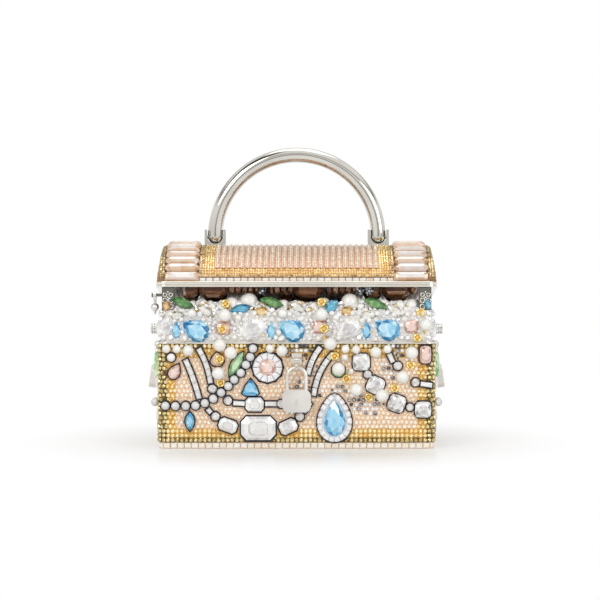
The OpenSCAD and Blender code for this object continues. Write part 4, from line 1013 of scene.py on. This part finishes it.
def bead_beds():
    """Beds under the case's border beads, hardly proud of the sheet: dark ones round the foot, under the
    rim and up the four corners, and gold ones beside them."""
    sunk = -0.1
    dark_proud, dark_wide = 0.05, 2.5
    gold_proud, gold_wide = 0.03, 4.8
    corner_low, corner_high = 3.5, 55.9
    strip_in, strip_half, strip_tall, strip_z, strip_thick = 7.1, 2.2, 19.0, 29.7, 0.05
    parts = [belt(CASE_HALF, CASE_CORNER, low, low + dark_wide, sunk, dark_proud)
             for low in (FOOT_HIGH, CASE_HIGH - dark_wide)]
    for sign in ((1.0, -1.0), (1.0, 1.0), (-1.0, 1.0), (-1.0, -1.0)):
        middle = np.array(sign) * (np.array(CASE_HALF) - CASE_CORNER)
        ways = circle(math.atan2(sign[1], sign[0]) + np.linspace(-math.pi / 4, math.pi / 4, 12))
        n = len(ways)
        section = ((sunk, corner_low), (dark_proud, corner_low),
                   (dark_proud, corner_high), (sunk, corner_high))
        rows = [raised(middle + ways * (CASE_CORNER + off), z) for off, z in section]
        caps = np.array([[3 * n, 2 * n, n, 0], [n - 1, 2 * n - 1, 3 * n - 1, 4 * n - 1]])
        parts.append(plain(np.concatenate(rows), [ring_walls(n, 4, closed=True, whole=False), caps], 0.3))
    make_piece("olive_bed", parts, "case", [OLIVE_BED])
    parts = [belt(CASE_HALF, CASE_CORNER, low, low + gold_wide, sunk, gold_proud)
             for low in (FOOT_HIGH + dark_wide, CASE_HIGH - dark_wide - gold_wide)]
    half_x, half_y = CASE_HALF
    for sign in (-1.0, 1.0):
        for wall in (-1.0, 1.0):
            parts.append(slab((sign * (half_x - strip_in), wall * (half_y - gold_proud), strip_z),
                              (strip_half, strip_thick, strip_tall)))
            parts.append(slab((wall * (half_x - gold_proud), sign * (half_y - strip_in), strip_z),
                              (strip_thick, strip_half, strip_tall)))
    make_piece("gold_bed", parts, "case", [GOLD_BED])


def pearl_outlines():
    """A thin dark disc behind each outlined pearl; discs of neighbours run into one another."""
    ways = circle(np.arange(24) * 2 * math.pi / 24)
    parts = []
    for spot, radius in zip(*outlined_pearls()):
        ring = spot + ways * (radius + PEARL_OUTLINE_WIDE)
        low, high = [np.insert(ring, 1, -CASE_HALF[1] - off, axis=1) for off in (-0.2, 0.55)]
        parts.append(prism(low, high, 0.4))
    make_piece("pearl_outlines", parts, "case", [DARK_LINE])


def foot_row():
    """Square cut crystals round the foot, side by side on their strip."""
    face_half, back_half, back_corner, thick = (73.4, 40.4), (72.8, 39.8), 3.8, 0.6
    pitch, sunk, high = 3.74, 0.1, 0.9
    across_share, up_share = 0.455, 0.475
    path = round_rect(face_half, CASE_CORNER)
    total = path[2][-1]
    count = int(round(total / pitch))
    beads = wall_beads(path, (np.arange(count) + 0.5) * total / count, FOOT_HIGH / 2, sunk)
    radii = (total / count * across_share * DIAGONAL, FOOT_HIGH * up_share * DIAGONAL)
    stones = beads_from(dict(beads, radius=radii), high, BLOCK, (0.46, 0.5))
    strip = belt(back_half, back_corner, 0.0, FOOT_HIGH, 0.0, thick)
    make_piece("foot_row", [stones], "case", [CREAM], ("foot_crystals",))
    make_piece("foot_strip", [strip], "case", [FOOT_BED], ("foot_crystals",))


# The stones of the band, the shelf, the front and the sides


def cut_stones():
    """The stones of each node in the table, cut finer over their own outlines and heights, an outline a
    little larger where the table says grow."""
    for node, half, cut, material, slot, how in CUTS:
        stones = halo_stones() if node == "halo_ring" else stones_of(node, half)
        make_piece(node + "_cut", gem_parts(stones, cut, **how), "case", [material], (node,))


def plate_part(stone, outline, low, high):
    """A flat plate over an outline on a stone's seat, from one height to another."""
    return prism(*[seat(raised(outline, z), stone["seat"], stone["axes"]) for z in (low, high)], 0.4)


def outline_edges():
    """The dark metal that shows round each setting: a flat plate a little wider than the stone, from the
    bead sheet up to the stone's seat, so that neighbours' plates join in one line."""
    sunk, proud = 0.05, 0.03
    parts = []
    for stone in front_settings():
        depth = -stone["seat"][1] - CASE_HALF[1]
        parts.append(plate_part(stone, widened(stone["outline"], OUTLINE_WIDE), -depth - sunk, proud))
    make_piece("outline_edges", parts, "case", [DARK_LINE])


def teardrop_bed():
    """A grey bed inside the outline of the teardrop setting, so that no dark shows between the stones."""
    plates = stones_of("front_outlines", CASE_HALF)
    middle = np.mean([s["seat"] for s in stones_of("teardrop_ring", CASE_HALF)], axis=0)
    span = [np.linalg.norm((s["seat"] - middle)[[0, 2]]) - 0.5 * np.ptp(s["outline"]) for s in plates]
    plate = plates[int(np.argmin(span))]
    line_wide, proud = 0.45, 0.3
    bed = plate_part(plate, widened(plate["outline"], -line_wide), 0.0, plate["height"] + proud)
    make_piece("teardrop_bed", [bed], "case", [SHADE_BED])


def coloured_stones():
    """The front's coloured stones: each takes the colour of the nearest place in the table."""
    stones = stones_of("front_colour_stones", CASE_HALF)
    spots = np.array([(photo_x(u), photo_z(v)) for u, v, _ in COLOUR_STONES])
    picks = []
    for stone in stones:
        gap = np.linalg.norm(spots - stone["seat"][[0, 2]], axis=1)
        picks.append(COLOUR_STONES[int(gap.argmin())][2])
    make_piece("front_colour_stones_cut", gem_parts(stones, brilliant, picks), "case",
               [SKY, MINT, SKY, ROSE, BLUSH], ("front_colour_stones",))


def side_set():
    """The stones on the two sides, the high green ones larger than their solids, and the pearls under the
    side padlocks, which are the solids with many corners."""
    pearl_corners = 40
    green_from, blue_to = 40.0, 13.0
    wider, higher = 1.3, 1.6
    stones = stones_of("side_stones", CASE_HALF)
    cut = [s for s in stones if s["count"] < pearl_corners]
    picks = [1 if s["seat"][2] > green_from else 2 if s["seat"][2] < blue_to else 0 for s in cut]
    cut = [dict(s, outline=s["outline"] * wider, height=s["height"] * higher) if pick == 1 else s
           for s, pick in zip(cut, picks)]
    make_piece("side_stones_cut", gem_parts(cut, brilliant, picks), "case", [WHITE, MINT, DEEP_BLUE],
               ("side_stones",))
    low, high = np.array([s["box"] for s in stones if s["count"] >= pearl_corners]).transpose(1, 0, 2)
    radii = (high[:, 2] - low[:, 2]) / 2
    centres = (low + high) / 2
    sign = np.sign(centres[:, 0])
    centres[:, 0] = np.where(sign > 0, high[:, 0], low[:, 0]) - sign * radii
    pearls = ball_field(centres, radii, 9, 18)
    make_piece("side_pearls", [pearls], "case", [PEARL], ("side_stones",), True)


def link_hearts():
    """A cut gold bead in every link of the necklaces."""
    low, high = boxes_of("necklace_links")
    share_of_link = 0.25
    hearts = ball_field((low + high) / 2, (high - low).max(axis=1) * share_of_link, 4, 7)
    make_piece("link_hearts", [hearts], "case", [GOLD_BEAD])


def leaning(beads, ups, lean):
    """A set of beads whose axes follow their own ways out, as upright as can be."""
    out = lean / length_of(lean)
    side = np.cross(ups, out)
    side = side / length_of(side)
    return dict(beads, side=side, up=np.cross(out, side), out=out)


def share_out(parts, beads, shares, tall, tones, full):
    """Shares a set of beads out at random: a kind takes the draws up to its share, and pearls the rest.
    Stones are tall times their radius high, and pearls full times their radius."""
    draw = chance.random(len(beads["centre"]))
    reached = 0.0
    for key, share in shares:
        stones = picked(beads, (draw >= reached) & (draw < share))
        parts.setdefault(key, []).append(beads_from(stones, stones["radius"] * tall, BEAD, tones))
        reached = share
    pearls = picked(beads, draw >= reached)
    parts.setdefault("pearls", []).append(ball_field(pearls["pearl_at"], pearls["radius"] * full, 5, 10))


def make_fill(name, parts):
    """One piece for each kind of small stones and for the pearls between them."""
    for key, material, slot in (("clear", CLEAR, "clear_crystal"), ("white", WHITE, "clear_crystal"),
                                ("honey", HONEY, "coloured_crystal"), ("pearls", PEARL, "pearl")):
        if key in parts:
            make_piece(name + "_" + key, parts[key], "case", [material], (), key == "pearls")


def band_fill():
    """Small crystals and pearls in every gap of the band: first the larger ones clear of the big stones,
    then small ones clear of both."""
    path = round_rect(COLLAR_HALF, COLLAR_CORNER)
    names = [row[0] for row in CUTS if row[0].startswith("band_")]
    big = [stone for name in names for stone in stones_of(name, COLLAR_HALF)]
    posts = np.array([[-COLLAR_HALF[0], 0.0, STRAP_POST_Z], [COLLAR_HALF[0], 0.0, STRAP_POST_Z]])
    post_room, own_room = 3.3, 2.1
    low_end, high_end = 0.6, 0.2
    tilted, sunk, pearl_proud = 0.5, 0.1, 0.5
    parts = {}
    taken = np.zeros((0, 3))
    for pitch, jitter, gap, low, high in ((3.7, 0.9, 1.0, 1.35, 1.75), (2.1, 0.5, 0.1, 0.85, 1.1)):
        flat = jittered_grid(path[2][-1], CASE_TOP + low_end, SHELF_Z - high_end, pitch, jitter)
        radius = low + (high - low) * chance.random(len(flat))
        beads = dict(wall_beads(path, flat[:, 0], flat[:, 1], 0.0), radius=radius)
        keep = clear_of(beads["centre"], beads["out"], big, gap)
        keep &= gap_to(beads["centre"], posts) > post_room
        keep &= gap_to(beads["centre"], taken) > own_room
        beads = picked(beads, keep)
        centres, side, up, out, radius = [beads[key] for key in ("centre", "side", "up", "out", "radius")]
        taken = np.concatenate([taken, centres])
        tilt = (chance.random((len(centres), 2)) - 0.5) * tilted
        beads = leaning(beads, up, out + side * tilt[:, :1] + up * tilt[:, 1:])
        beads.update(centre=centres - sunk * out, pearl_at=centres + pearl_proud * radius[:, None] * out)
        share_out(parts, beads, (("clear", 0.42), ("white", 0.68), ("honey", 0.73)), 1.1, (0.62, 0.8), 0.92)
    make_fill("band_fill", parts)


def shelf_fill():
    """Small stones and pearls heaped along the shelf: four rows from its front edge back, the third the
    highest, and a low layer of three rings round the sides and the back of the mouth."""
    count, half_row, post_room = 62, 69.5, 3.8
    rows = ((-38.2, 0.3, 1.35), (-36.9, 1.9, 1.5), (-34.5, 2.9, 1.7), (-31.6, 1.5, 1.6))
    across = np.linspace(-half_row, half_row, count)
    parts = {}
    for depth, height, radius in rows:
        jitter = (chance.random((count, 3)) - 0.5) * [1.4, 0.8, 1.2]
        centres = np.c_[across, np.full(count, depth), np.full(count, SHELF_Z + height)] + jitter
        centres = centres[np.abs(np.abs(centres[:, 0]) - REST_POST_X) >= post_room]
        size = radius * (0.8 + 0.4 * chance.random(len(centres)))
        lean = np.array([0.0, -1.0, 0.45]) + (chance.random(centres.shape) - 0.5) * 1.1
        beads = leaning({"centre": centres, "pearl_at": centres, "radius": size}, UP, lean)
        share_out(parts, beads, (("clear", 0.6), ("honey", 0.72)), 1.0, (0.45, 0.95), 0.95)
    mouth_half, mouth_corner, pitch, ring_step, sunk = (67.5, 34.5), 2.5, 2.5, 2.6, 0.1
    rows_back, corner_back, corner_x = -33.0, -24.0, 66.0
    path = round_rect(mouth_half, mouth_corner)
    spots = np.arange(0, path[2][-1], pitch)
    for shift in (-ring_step, 0.0, ring_step):
        place, way = along_path(path, spots + shift)
        place = place + way * shift
        x, y = place.T
        place = place[(y > rows_back) & ~((y < corner_back) & (np.abs(x) < corner_x))]
        place = place + (chance.random(place.shape) - 0.5) * 0.6
        centres = raised(place, SHELF_Z - sunk)
        parts["clear"].append(bead_field(centres, np.eye(3), 1.15, 0.95, BEAD, (0.5, 0.9)))
    make_fill("shelf_fill", parts)


# The lid


def arch_frame(angle):
    """Unit radial vectors of the arch at angles from its top, in the lid's own frame."""
    return np.stack([np.zeros(len(angle)), np.sin(angle), np.cos(angle)], axis=1)


def arch_place(across, angle, radius):
    """Points over the arch: across the lid, at an angle from the top and a radius from its centre line."""
    high = RIDGE - ARCH_R + radius * np.cos(angle)
    return np.stack([across, LID_MID + radius * np.sin(angle), high], axis=1)


def spread_over(half, pitch):
    """Middles of equal steps, as near a pitch as can be, from minus a half width to plus it."""
    count = int(round(2 * half / pitch))
    return (np.arange(count) + 0.5) / count * 2 * half - half


def lid_set(name, x, turn, lean, radii, lift, height, material, template):
    """Beads over the arch: across the lid, at an angle from its top, leaning sideways by an angle, and
    lifted off the bead sheet; none stands where a handle socket does."""
    socket = (np.abs(np.abs(x) - HANDLE_R) < SOCKET_HALF[0] + radii[0])
    socket &= np.abs(ARCH_R * np.sin(turn)) < SOCKET_HALF[1] + radii[1]
    x, turn, lean = [values[~socket] for values in (x, turn, np.broadcast_to(lean, x.shape))]
    radial = arch_frame(turn)
    upright, sideways = np.cos(lean)[:, None], np.sin(lean)[:, None]
    out = radial * upright + ACROSS * sideways
    side = ACROSS * upright - radial * sideways
    centres = to_lid(arch_place(x, turn, ARCH_R + lift))
    beads = bead_field(centres, lid_axes(side, np.cross(out, side), out), radii, height, template)
    make_piece(name, [beads], "lid", [material])


def lid_beads():
    """Beads of the lid's middle panel: ribs three beads wide over the arch, in borders of small gold and
    olive beads."""
    pitch, rib_step, rib_spread, rib_lean = 1.36, 1.45, 0.74, 1.0
    border_rows, olive_edge = 3, 2.8
    foot_step = RIB_BORDER_FOOT / border_rows / ARCH_R
    angle, across = grid_of(spread_over(ARCH_TURN, foot_step), spread_over(BAY_IN, pitch))
    from_end = (ARCH_TURN - np.abs(angle)) / foot_step
    edge = BAY_IN - np.abs(across)
    border = (from_end < border_rows) | (edge < RIB_BORDER)
    olive = (from_end < 1.0) | (edge < olive_edge)
    for name, pick, material in (("lid_beads_olive", border & olive, LID_OLIVE),
                                 ("lid_beads_gold", border & ~olive, LID_GOLD)):
        lid_set(name, across[pick], angle[pick], 0.0, (0.66, 0.90), -0.2, 0.7, material, BEAD)
    rib_pitch = 2 * (BAY_IN - RIB_BORDER) / RIBS
    middles = (np.arange(RIBS) + 0.5) * rib_pitch - (BAY_IN - RIB_BORDER)
    rib_half = ARCH_TURN - RIB_BORDER_FOOT / ARCH_R
    turns = spread_over(rib_half, rib_step / ARCH_R)
    angle, across = grid_of(turns, middles)
    lid_set("lid_ribs_middle", across, angle, 0.0, (0.60, 0.72), 0.42, 0.55, RIB_PEACH, SMALL_BEAD)
    sides = np.concatenate([across - rib_spread, across + rib_spread])
    leans = np.repeat([-rib_lean, rib_lean], len(across))
    side_turns = np.tile(angle, 2) + rib_half / len(turns)
    lid_set("lid_ribs_side", sides, side_turns, leans, (0.50, 0.70), 0.08, 0.5, RIB_PEACH, SMALL_BEAD)


def lid_end_beads():
    """Beads over the two sloping ends of the lid: hexagonal rows on the slope under the arch."""
    slope = math.atan2(END_FOOT - END_TOP, RIDGE - LID_RIM)
    pitch, sunk, high = 1.55, 0.15, 0.6
    olive_wide, gold_wide = 3.2, 6.2
    row_rise = pitch * HEX_RISE
    h, y = grid_of(np.arange(0.8, (RIDGE - LID_RIM) / math.cos(slope), row_rise),
                   np.arange(-ARCH_HALF + 0.9, ARCH_HALF - 0.8, pitch))
    y = y + np.where(np.round(h / row_rise).astype(int) % 2 == 0, 0.0, pitch / 2)
    z = LID_RIM + h * math.cos(slope)
    roof = RIDGE - ARCH_R + np.sqrt(np.maximum(ARCH_R ** 2 - y ** 2, 0.0))
    arch_gap = ARCH_R - np.hypot(y, z - RIDGE + ARCH_R)
    rim_gap = np.minimum(arch_gap, np.minimum(ARCH_HALF - np.abs(y), z - 2.0))
    inside = (z < roof - 0.7) & (rim_gap > 0.6)
    y, z, rim_gap = y[inside], z[inside], rim_gap[inside]
    x = END_FOOT - (z - LID_RIM) * math.tan(slope)
    kinds = (("olive", 0.0, olive_wide, OLIVE, "bead_covering"),
             ("gold", olive_wide, gold_wide, GOLD_BEAD, "bead_covering"),
             ("peach", gold_wide, math.inf, PEACH, "peach_crystal"))
    parts = {key: [] for key, *_ in kinds}
    for sign in (-1.0, 1.0):
        out = np.array([sign * math.cos(slope), 0.0, math.sin(slope)])
        side = np.array([0.0, sign, 0.0])
        axes = lid_axes(side, np.cross(out, side), out)
        placed = to_lid(np.stack([sign * x, LID_MID + y, z], axis=1) - sunk * out)
        for key, inner, outer, _, _ in kinds:
            pick = (rim_gap >= inner) & (rim_gap < outer)
            parts[key].append(bead_field(placed[pick], axes, pitch * 0.5, high, SMALL_BEAD))
    for key, _, _, material, slot in kinds:
        make_piece("lid_end_" + key, parts[key], "lid", [material])


def lid_edge_beads():
    """Rows of small olive beads on the arch between the bars and the lid's ends."""
    angles = spread_over(ARCH_TURN, 1.7 / ARCH_R)
    high = RIDGE - ARCH_R + ARCH_R * np.cos(angles)
    limit = END_FOOT - (high - LID_RIM) * (END_FOOT - END_TOP) / (RIDGE - LID_RIM)
    for name, shift in (("lid_edge_inner", 0.75), ("lid_edge_outer", 2.1)):
        turn = angles[BAY_OUT + shift < limit - 0.3]
        x = np.repeat([-BAY_OUT - shift, BAY_OUT + shift], len(turn))
        lid_set(name, x, np.tile(turn, 2), 0.0, (0.66, 0.84), -0.2, 0.6, LID_OLIVE, SMALL_BEAD)


def half_round(low, high, proud):
    """A moulding's profile between two heights: a bow that stands proud of the wall, and its sunk back."""
    sunk = -0.4
    middle, half = (low + high) / 2, (high - low) / 2
    bow = circle(np.linspace(-math.pi / 2, math.pi / 2, 7))
    return [(sunk, low)] + [(proud * c, middle + half * t) for c, t in bow] + [(sunk, high)]


def rims():
    """Polished mouldings: two rounded ones with a groove between them on the lid's rim, and one on the
    case's rim."""
    rings = [sweep(LID_HALF, CASE_CORNER, half_round(0.0, 1.15, 0.35)),
             sweep(LID_HALF, CASE_CORNER, half_round(1.5, LID_RIM, 0.45))]
    for ring in rings:
        ring["points"] = to_lid(ring["points"] + np.array([0.0, LID_MID, 0.0]))
    make_piece("lid_rim_moulding", rings, "lid", [RIM_GOLD], (), True)
    ring = sweep(CASE_HALF, CASE_CORNER, half_round(CASE_HIGH, CASE_TOP, 0.3))
    make_piece("case_rim_moulding", [ring], "case", [RIM_GOLD], (), True)


def emerald_outline(half_long, half_wide, cut):
    """A long rectangle with cut corners, anticlockwise."""
    a, b, c = half_long, half_wide, cut
    return np.array([[a, -b + c], [a, b - c], [a - c, b], [-a + c, b],
                     [-a, b - c], [-a, -b + c], [-a + c, -b], [a - c, -b]])


def long_step(outline, height):
    """A long step-cut bar: its outline shrinks by its own share lengthways and across at each level, and
    each of its eight sides has its own tone of painted light: the long top side lightest, the long bottom
    side and the cut corners darker, the ends darkest, and the table a painted highlight."""
    n = len(outline)
    levels = (((1.0, 1.0), 0.0), ((1.0, 1.0), 0.45), ((0.93, 0.76), 0.80), ((0.76, 0.36), 1.0))
    # Painted shade and light for each side, by the way it faces: ends darkest, the long top side lightest.
    facing = np.array([-0.45, -0.25, 0.15, -0.25, -0.45, -0.25, -0.22, -0.25])
    points = np.concatenate([raised(outline * np.array(share), height * up) for share, up in levels])
    tones = np.concatenate([varied(level + facing, 0.6, n) for level in (0.15, 0.62, 0.70)])
    ring = np.arange(n)
    # The table's tone is a painted highlight, near the glint colour.
    heart = 0.85 + 0.15 * chance.random()
    return points, [ring_walls(n, 4), np.stack([3 * n + ring, ring[::-1]])], [tones, np.array([heart, 0.0])]


def lid_bars():
    """Two stacks of large bars over the arch, each stepped to a narrow table; the lowest bar of a stack
    stands upright on the rim."""
    side_gap, sunk = 0.1, 0.05
    half_long = (BAY_OUT - BAY_IN) / 2 - side_gap
    arch_bar = (emerald_outline(half_long, 2.80, 1.9), 3.85)
    foot_bar = (emerald_outline(half_long, 2.6, 1.0), 2.8)
    foot_in, foot_z = 1.25, 5.6
    parts = []
    for sign in (-1.0, 1.0):
        middle = sign * (BAY_IN + BAY_OUT) / 2
        angles = np.arange(-7, 8) * BAR_STEP
        corners = arch_place(np.full(len(angles), middle), angles, SHELL_R - sunk)
        bars = [(arch_bar, corner, ACROSS, out) for corner, out in zip(corners, arch_frame(angles))]
        for wall in (-1.0, 1.0):
            corner = np.array([middle, LID_MID + wall * (ARCH_HALF - foot_in), foot_z])
            bars.append((foot_bar, corner, -wall * ACROSS, np.array([0.0, wall * 0.985, 0.174])))
        for bar, corner, side, out in bars:
            points, faces, tones = long_step(*bar)
            placed = seat(points, corner, (side, np.cross(out, side), out))
            parts.append(part(to_lid(placed), faces, tones))
    make_piece("lid_bars", parts, "lid", [SALMON], ("lid_baguettes",))


def lid_row():
    """A row of small square crystals over the rim, front and back."""
    count = 28
    pitch = 2 * BAY_IN / count
    x = (np.arange(count) + 0.5) * pitch - BAY_IN
    width_share, half_tall, sunk, middle_z, high = 0.44, 1.1, 0.6, 4.2, 0.9
    radii = (pitch * width_share * DIAGONAL, half_tall * DIAGONAL)
    parts = []
    for sign in (-1.0, 1.0):
        out = np.array([0.0, sign, 0.0])
        centres = np.c_[x, np.full(count, LID_MID + sign * (ARCH_HALF - sunk)), np.full(count, middle_z)]
        axes = lid_axes(np.cross(UP, out), UP, out)
        parts.append(bead_field(to_lid(centres), axes, radii, high, BLOCK, (0.42, 0.9)))
    make_piece("lid_row", parts, "lid", [CREAM], ("lid_row_crystals",))


def smoky_row():
    """The smoky octagons under the lid, faces down, cut in steps over their CAD outlines, with small round
    stones where two rows between and before them are free."""
    axes = np.diag([1.0, -1.0, -1.0])
    parts = []
    boxes = []
    for corners in islands("lid_smoky_octagons"):
        own = from_lid(corners)
        base = own[:, 2].max()
        flat = np.unique(np.round(own[own[:, 2] > base - 0.02, :2] * [1.0, -1.0], 3), axis=0)
        middle = box_middle(flat)
        points, faces, tones = step_cut(hull_order(flat - middle), base - own[:, 2].min(), 0.55, (0.5, 0.9))
        placed = seat(points, np.array([middle[0], -middle[1], base]), axes)
        parts.append(part(to_lid(placed), faces, tones))
        boxes.append((own.min(axis=0), own.max(axis=0)))
    make_piece("smoky_octagons_cut", parts, "lid", [SMOKY], ("lid_smoky_octagons",))
    front = min(low[1] for low, high in boxes)
    half_row, pitch, room = 63.0, 3.5, 1.8
    y, x = grid_of(front + np.array([2.0, 6.5]), np.arange(-half_row, half_row + 0.5, pitch))
    flat = np.stack([x, y], axis=1)
    free = np.ones(len(flat), bool)
    for low, high in boxes:
        free &= (np.abs(flat - (low + high)[:2] / 2) > (high - low)[:2] / 2 + room).any(axis=1)
    spots = to_lid(raised(flat[free], boxes[0][1][2] + 0.1))
    fill = bead_field(spots, lid_axes(*axes), 1.75, 2.2, BEAD, (0.4, 0.9))
    make_piece("smoky_fill", [fill], "lid", [SMOKY])


def black_flowers():
    """Three small dark flowers with clear hearts on the front edge of the plate under the lid."""
    places = photo_x(np.array([262.0, 360.0, 369.5]))
    level = SHELF_Z + 10.1
    petals = 5
    reach = 1.5
    leaf_y, heart_y = -33.2, -33.9
    turn = np.tile(np.arange(petals) * 2 * math.pi / petals + 0.3, len(places))
    x = np.repeat(places, petals)
    centres = np.stack([x + reach * np.sin(turn), np.full(len(x), leaf_y), level + reach * np.cos(turn)],
                       axis=1)
    axes = level_axes(np.array([[0.0, -1.0]]))
    leaves = bead_field(centres, axes, 1.15, 0.9, BEAD, (0.35, 0.6))
    hearts = np.stack([places, np.full(3, heart_y), np.full(3, level)], axis=1)
    core = bead_field(hearts, axes, 0.8, 0.8, BEAD, (0.7, 0.6), 1)
    make_piece("black_flowers", [leaves, core], "lid", [BLACK, CLEAR])


def corner_scrolls():
    """Open scrollwork on the front of the two rest posts: pairs of wire rings one over another, and a small
    ball on each pair."""
    wire, ring_share, half_apart, front_y, ball = 0.34, 0.8, 1.55, -39.1, 0.6
    parts = []
    balls = []
    for sign in (-1.0, 1.0):
        for rise, radius in ((2.0, 1.5), (5.2, 1.5), (8.2, 1.2)):
            for shift in (-half_apart, half_apart):
                centre = np.array([sign * REST_POST_X + shift, front_y, SHELF_Z + rise])
                parts.append(ring_part(centre, ACROSS, UP, radius * ring_share, wire))
            balls.append([sign * REST_POST_X, front_y - 0.1, SHELF_Z + rise + 1.6])
    parts.append(ball_field(np.array(balls), ball, 5, 10))
    make_piece("corner_scrolls", parts, "case", [CHROME], (), True)


def post_crystals():
    """Rings of tiny crystals round the two strap posts."""
    around = 12
    radius, first_x, pitch = 2.45, 74.75, 1.25
    ring, step = grid_of(np.arange(5), np.arange(around))
    turn = (step + 0.5 * (ring % 2)) * 2 * math.pi / around
    out = np.stack([np.zeros(len(turn)), np.cos(turn), np.sin(turn)], axis=1)
    parts = []
    for sign in (-1.0, 1.0):
        side = sign * ACROSS
        x = sign * (first_x + pitch * ring)
        centres = np.stack([x, radius * out[:, 1], STRAP_POST_Z + radius * out[:, 2]], axis=1)
        axes = (side, np.cross(out, side), out)
        parts.append(bead_field(centres, axes, 0.6, 0.42, SMALL_BEAD, (0.5, 0.9)))
    make_piece("post_crystals", parts, "case", [CLEAR])


def finish_nodes():
    """Gives CAD nodes whose shape is right their finish. The sloping ends of the lid's bead sheet have one
    of their own: its triangles that lie wholly beyond a distance from the middle, in metres."""
    end_from = 0.0703
    for material, names in FINISHES:
        for name in names:
            mesh = nodes[name].data
            mesh.materials.clear()
            mesh.materials.append(material)
    sheet = nodes["lid_bead_sheet"].data
    sheet.materials.append(BRONZE_BED)
    corners, triangles = corners_of(sheet)
    ends = np.abs(corners[triangles, 0]).min(axis=1) > end_from
    sheet.polygons.foreach_set("material_index", ends.astype(np.int32))


# The middles of the dark clusters across and down the photograph, and their half sizes, in pixels
DARK_CLUSTERS = ((299, 351, 15, 10), (316, 376, 5, 11), (318, 391, 8, 7), (361, 403, 12, 9),
                 (371, 408, 12, 6), (388, 371, 8, 10), (396, 352, 9, 7), (304, 386, 9, 7), (338, 390, 8, 6),
                 (353, 399, 6, 6), (382, 400, 6, 5))
# The places of the coloured stones in the photograph, and their materials' numbers
COLOUR_STONES = ((189.5, 421.4, 0), (236, 364, 1), (250.4, 387.4, 2), (174.6, 371.4, 3), (425.4, 354.6, 3),
                 (217, 359.4, 4), (338.2, 370.4, 1))
# What the small step-cut stones of the front share
STEPPED = {"table": 0.6, "keel": 0.85, "frame_tone": -0.1}
# The stones that are cut finer: node, half sizes of the box whose walls they stand on, cut, material,
# slot and how; in how, tones and lift set the painted light and highlight of the facets
CUTS = (
    ("band_blue_pears", COLLAR_HALF, brilliant, SKY, "blue_crystal",
     {"table": 0.64, "tones": (0.40, 0.75), "lift": 0.35}),
    ("band_white_ovals", COLLAR_HALF, brilliant, CLEAR, "clear_crystal",
     {"table": 0.60, "tones": (0.78, 0.4), "lift": -0.5}),
    ("band_blue_marquises", COLLAR_HALF, brilliant, SKY, "blue_crystal", {"grow": (1.3, 1.05)}),
    ("band_pink_cushions", COLLAR_HALF, brilliant, ROSE, "pink_crystal", {}),
    ("band_clear_squares", COLLAR_HALF, step_cut, CLEAR, "clear_crystal", {"table": 0.6}),
    ("shelf_green_marquises", COLLAR_HALF, brilliant, LEAF, "green_crystal", {}),
    ("shelf_blue_marquises", COLLAR_HALF, brilliant, DEEP_BLUE, "blue_crystal", {}),
    ("shelf_champagne_stones", COLLAR_HALF, brilliant, HONEY, "coloured_crystal", {}),
    ("shelf_clear_stones", COLLAR_HALF, brilliant, MIST, "clear_crystal", {"grow": 1.1}),
    ("front_octagons", CASE_HALF, step_cut, CLEAR, "clear_crystal",
     {"table": 0.58, "tones": (0.68, 0.6), "keel": 0.86, "lift": -0.2, "frame_tone": -0.45}),
    ("front_cushions", CASE_HALF, brilliant, CLEAR, "clear_crystal", {"tones": (0.58, 0.8), "lift": -0.25}),
    ("front_rounds", CASE_HALF, brilliant, CLEAR, "clear_crystal", {"tones": (0.66, 0.6), "lift": -0.3}),
    ("front_baguettes", CASE_HALF, step_cut, CLEAR, "clear_crystal",
     dict(STEPPED, grow=1.05, tones=(0.66, 0.6), lift=-0.15)),
    ("teardrop_stone", CASE_HALF, brilliant, SKY, "blue_crystal",
     {"grow": 1.08, "tones": (0.42, 0.6), "lift": 0.25}),
    ("teardrop_ring", CASE_HALF, step_cut, WHITE, "clear_crystal",
     dict(STEPPED, grow=1.22, tones=(0.70, 0.6), lift=-0.05)),
    ("halo_cushion", CASE_HALF, brilliant, ROSE, "pink_crystal", {"grow": 1.12}),
    ("halo_ring", CASE_HALF, step_cut, WHITE, "clear_crystal",
     dict(STEPPED, table=0.62, tones=(0.70, 0.6), lift=-0.05)),
)
# The finish of each CAD node whose shape is right
FINISHES = (
    # The rest posts' dark metal is painted shade of the recess they stand in.
    (RECESS_SHADE, ("rest_posts",)),
    (PALE_GOLD, ("case_rim", "lid_rim", "lid_shell", "strap_post_left", "strap_post_right", "front_staple",
                 "side_staples", "front_bail")),
    # The plate under the lid is painted dark as shade of the lid's underside.
    (UNDERSIDE_SHADE, ("lid_inner_plate",)),
    (CHROME, ("handle", "handle_sockets")),
    (SILVER_BED, ("collar",)),
    (STEEL, ("hinge_leaf_lower", "hinge_leaf_upper", "hinge_pin", "handle_pins", "socket_nuts",
             "rest_magnets", "lid_magnets")),
    (SATIN, ("front_padlock_body", "front_padlock_shackle", "left_padlock", "right_padlock",
             "left_clasp_charm")),
    (AMBER_BED, ("case_shell", "case_bead_sheet")),
    (CORAL_BED, ("lid_bead_sheet",)),
    (LINING, ("case_lining",)),
    (CHAIN_GOLD, ("necklace_links",)),
    (PEARL, ("necklace_pearls", "shelf_pearls", "front_pearls", "band_pearls")),
    (GREY_PEARL, ("grey_pearl_string",)),
    (DARK_LINE, ("front_outlines",)),
)

make_studio()
finish_nodes()
case_beads()
bead_beds()
pearl_outlines()
foot_row()
cut_stones()
outline_edges()
teardrop_bed()
coloured_stones()
side_set()
link_hearts()
band_fill()
shelf_fill()
lid_beads()
lid_end_beads()
lid_edge_beads()
rims()
lid_bars()
lid_row()
smoky_row()
black_flowers()
corner_scrolls()
post_crystals()
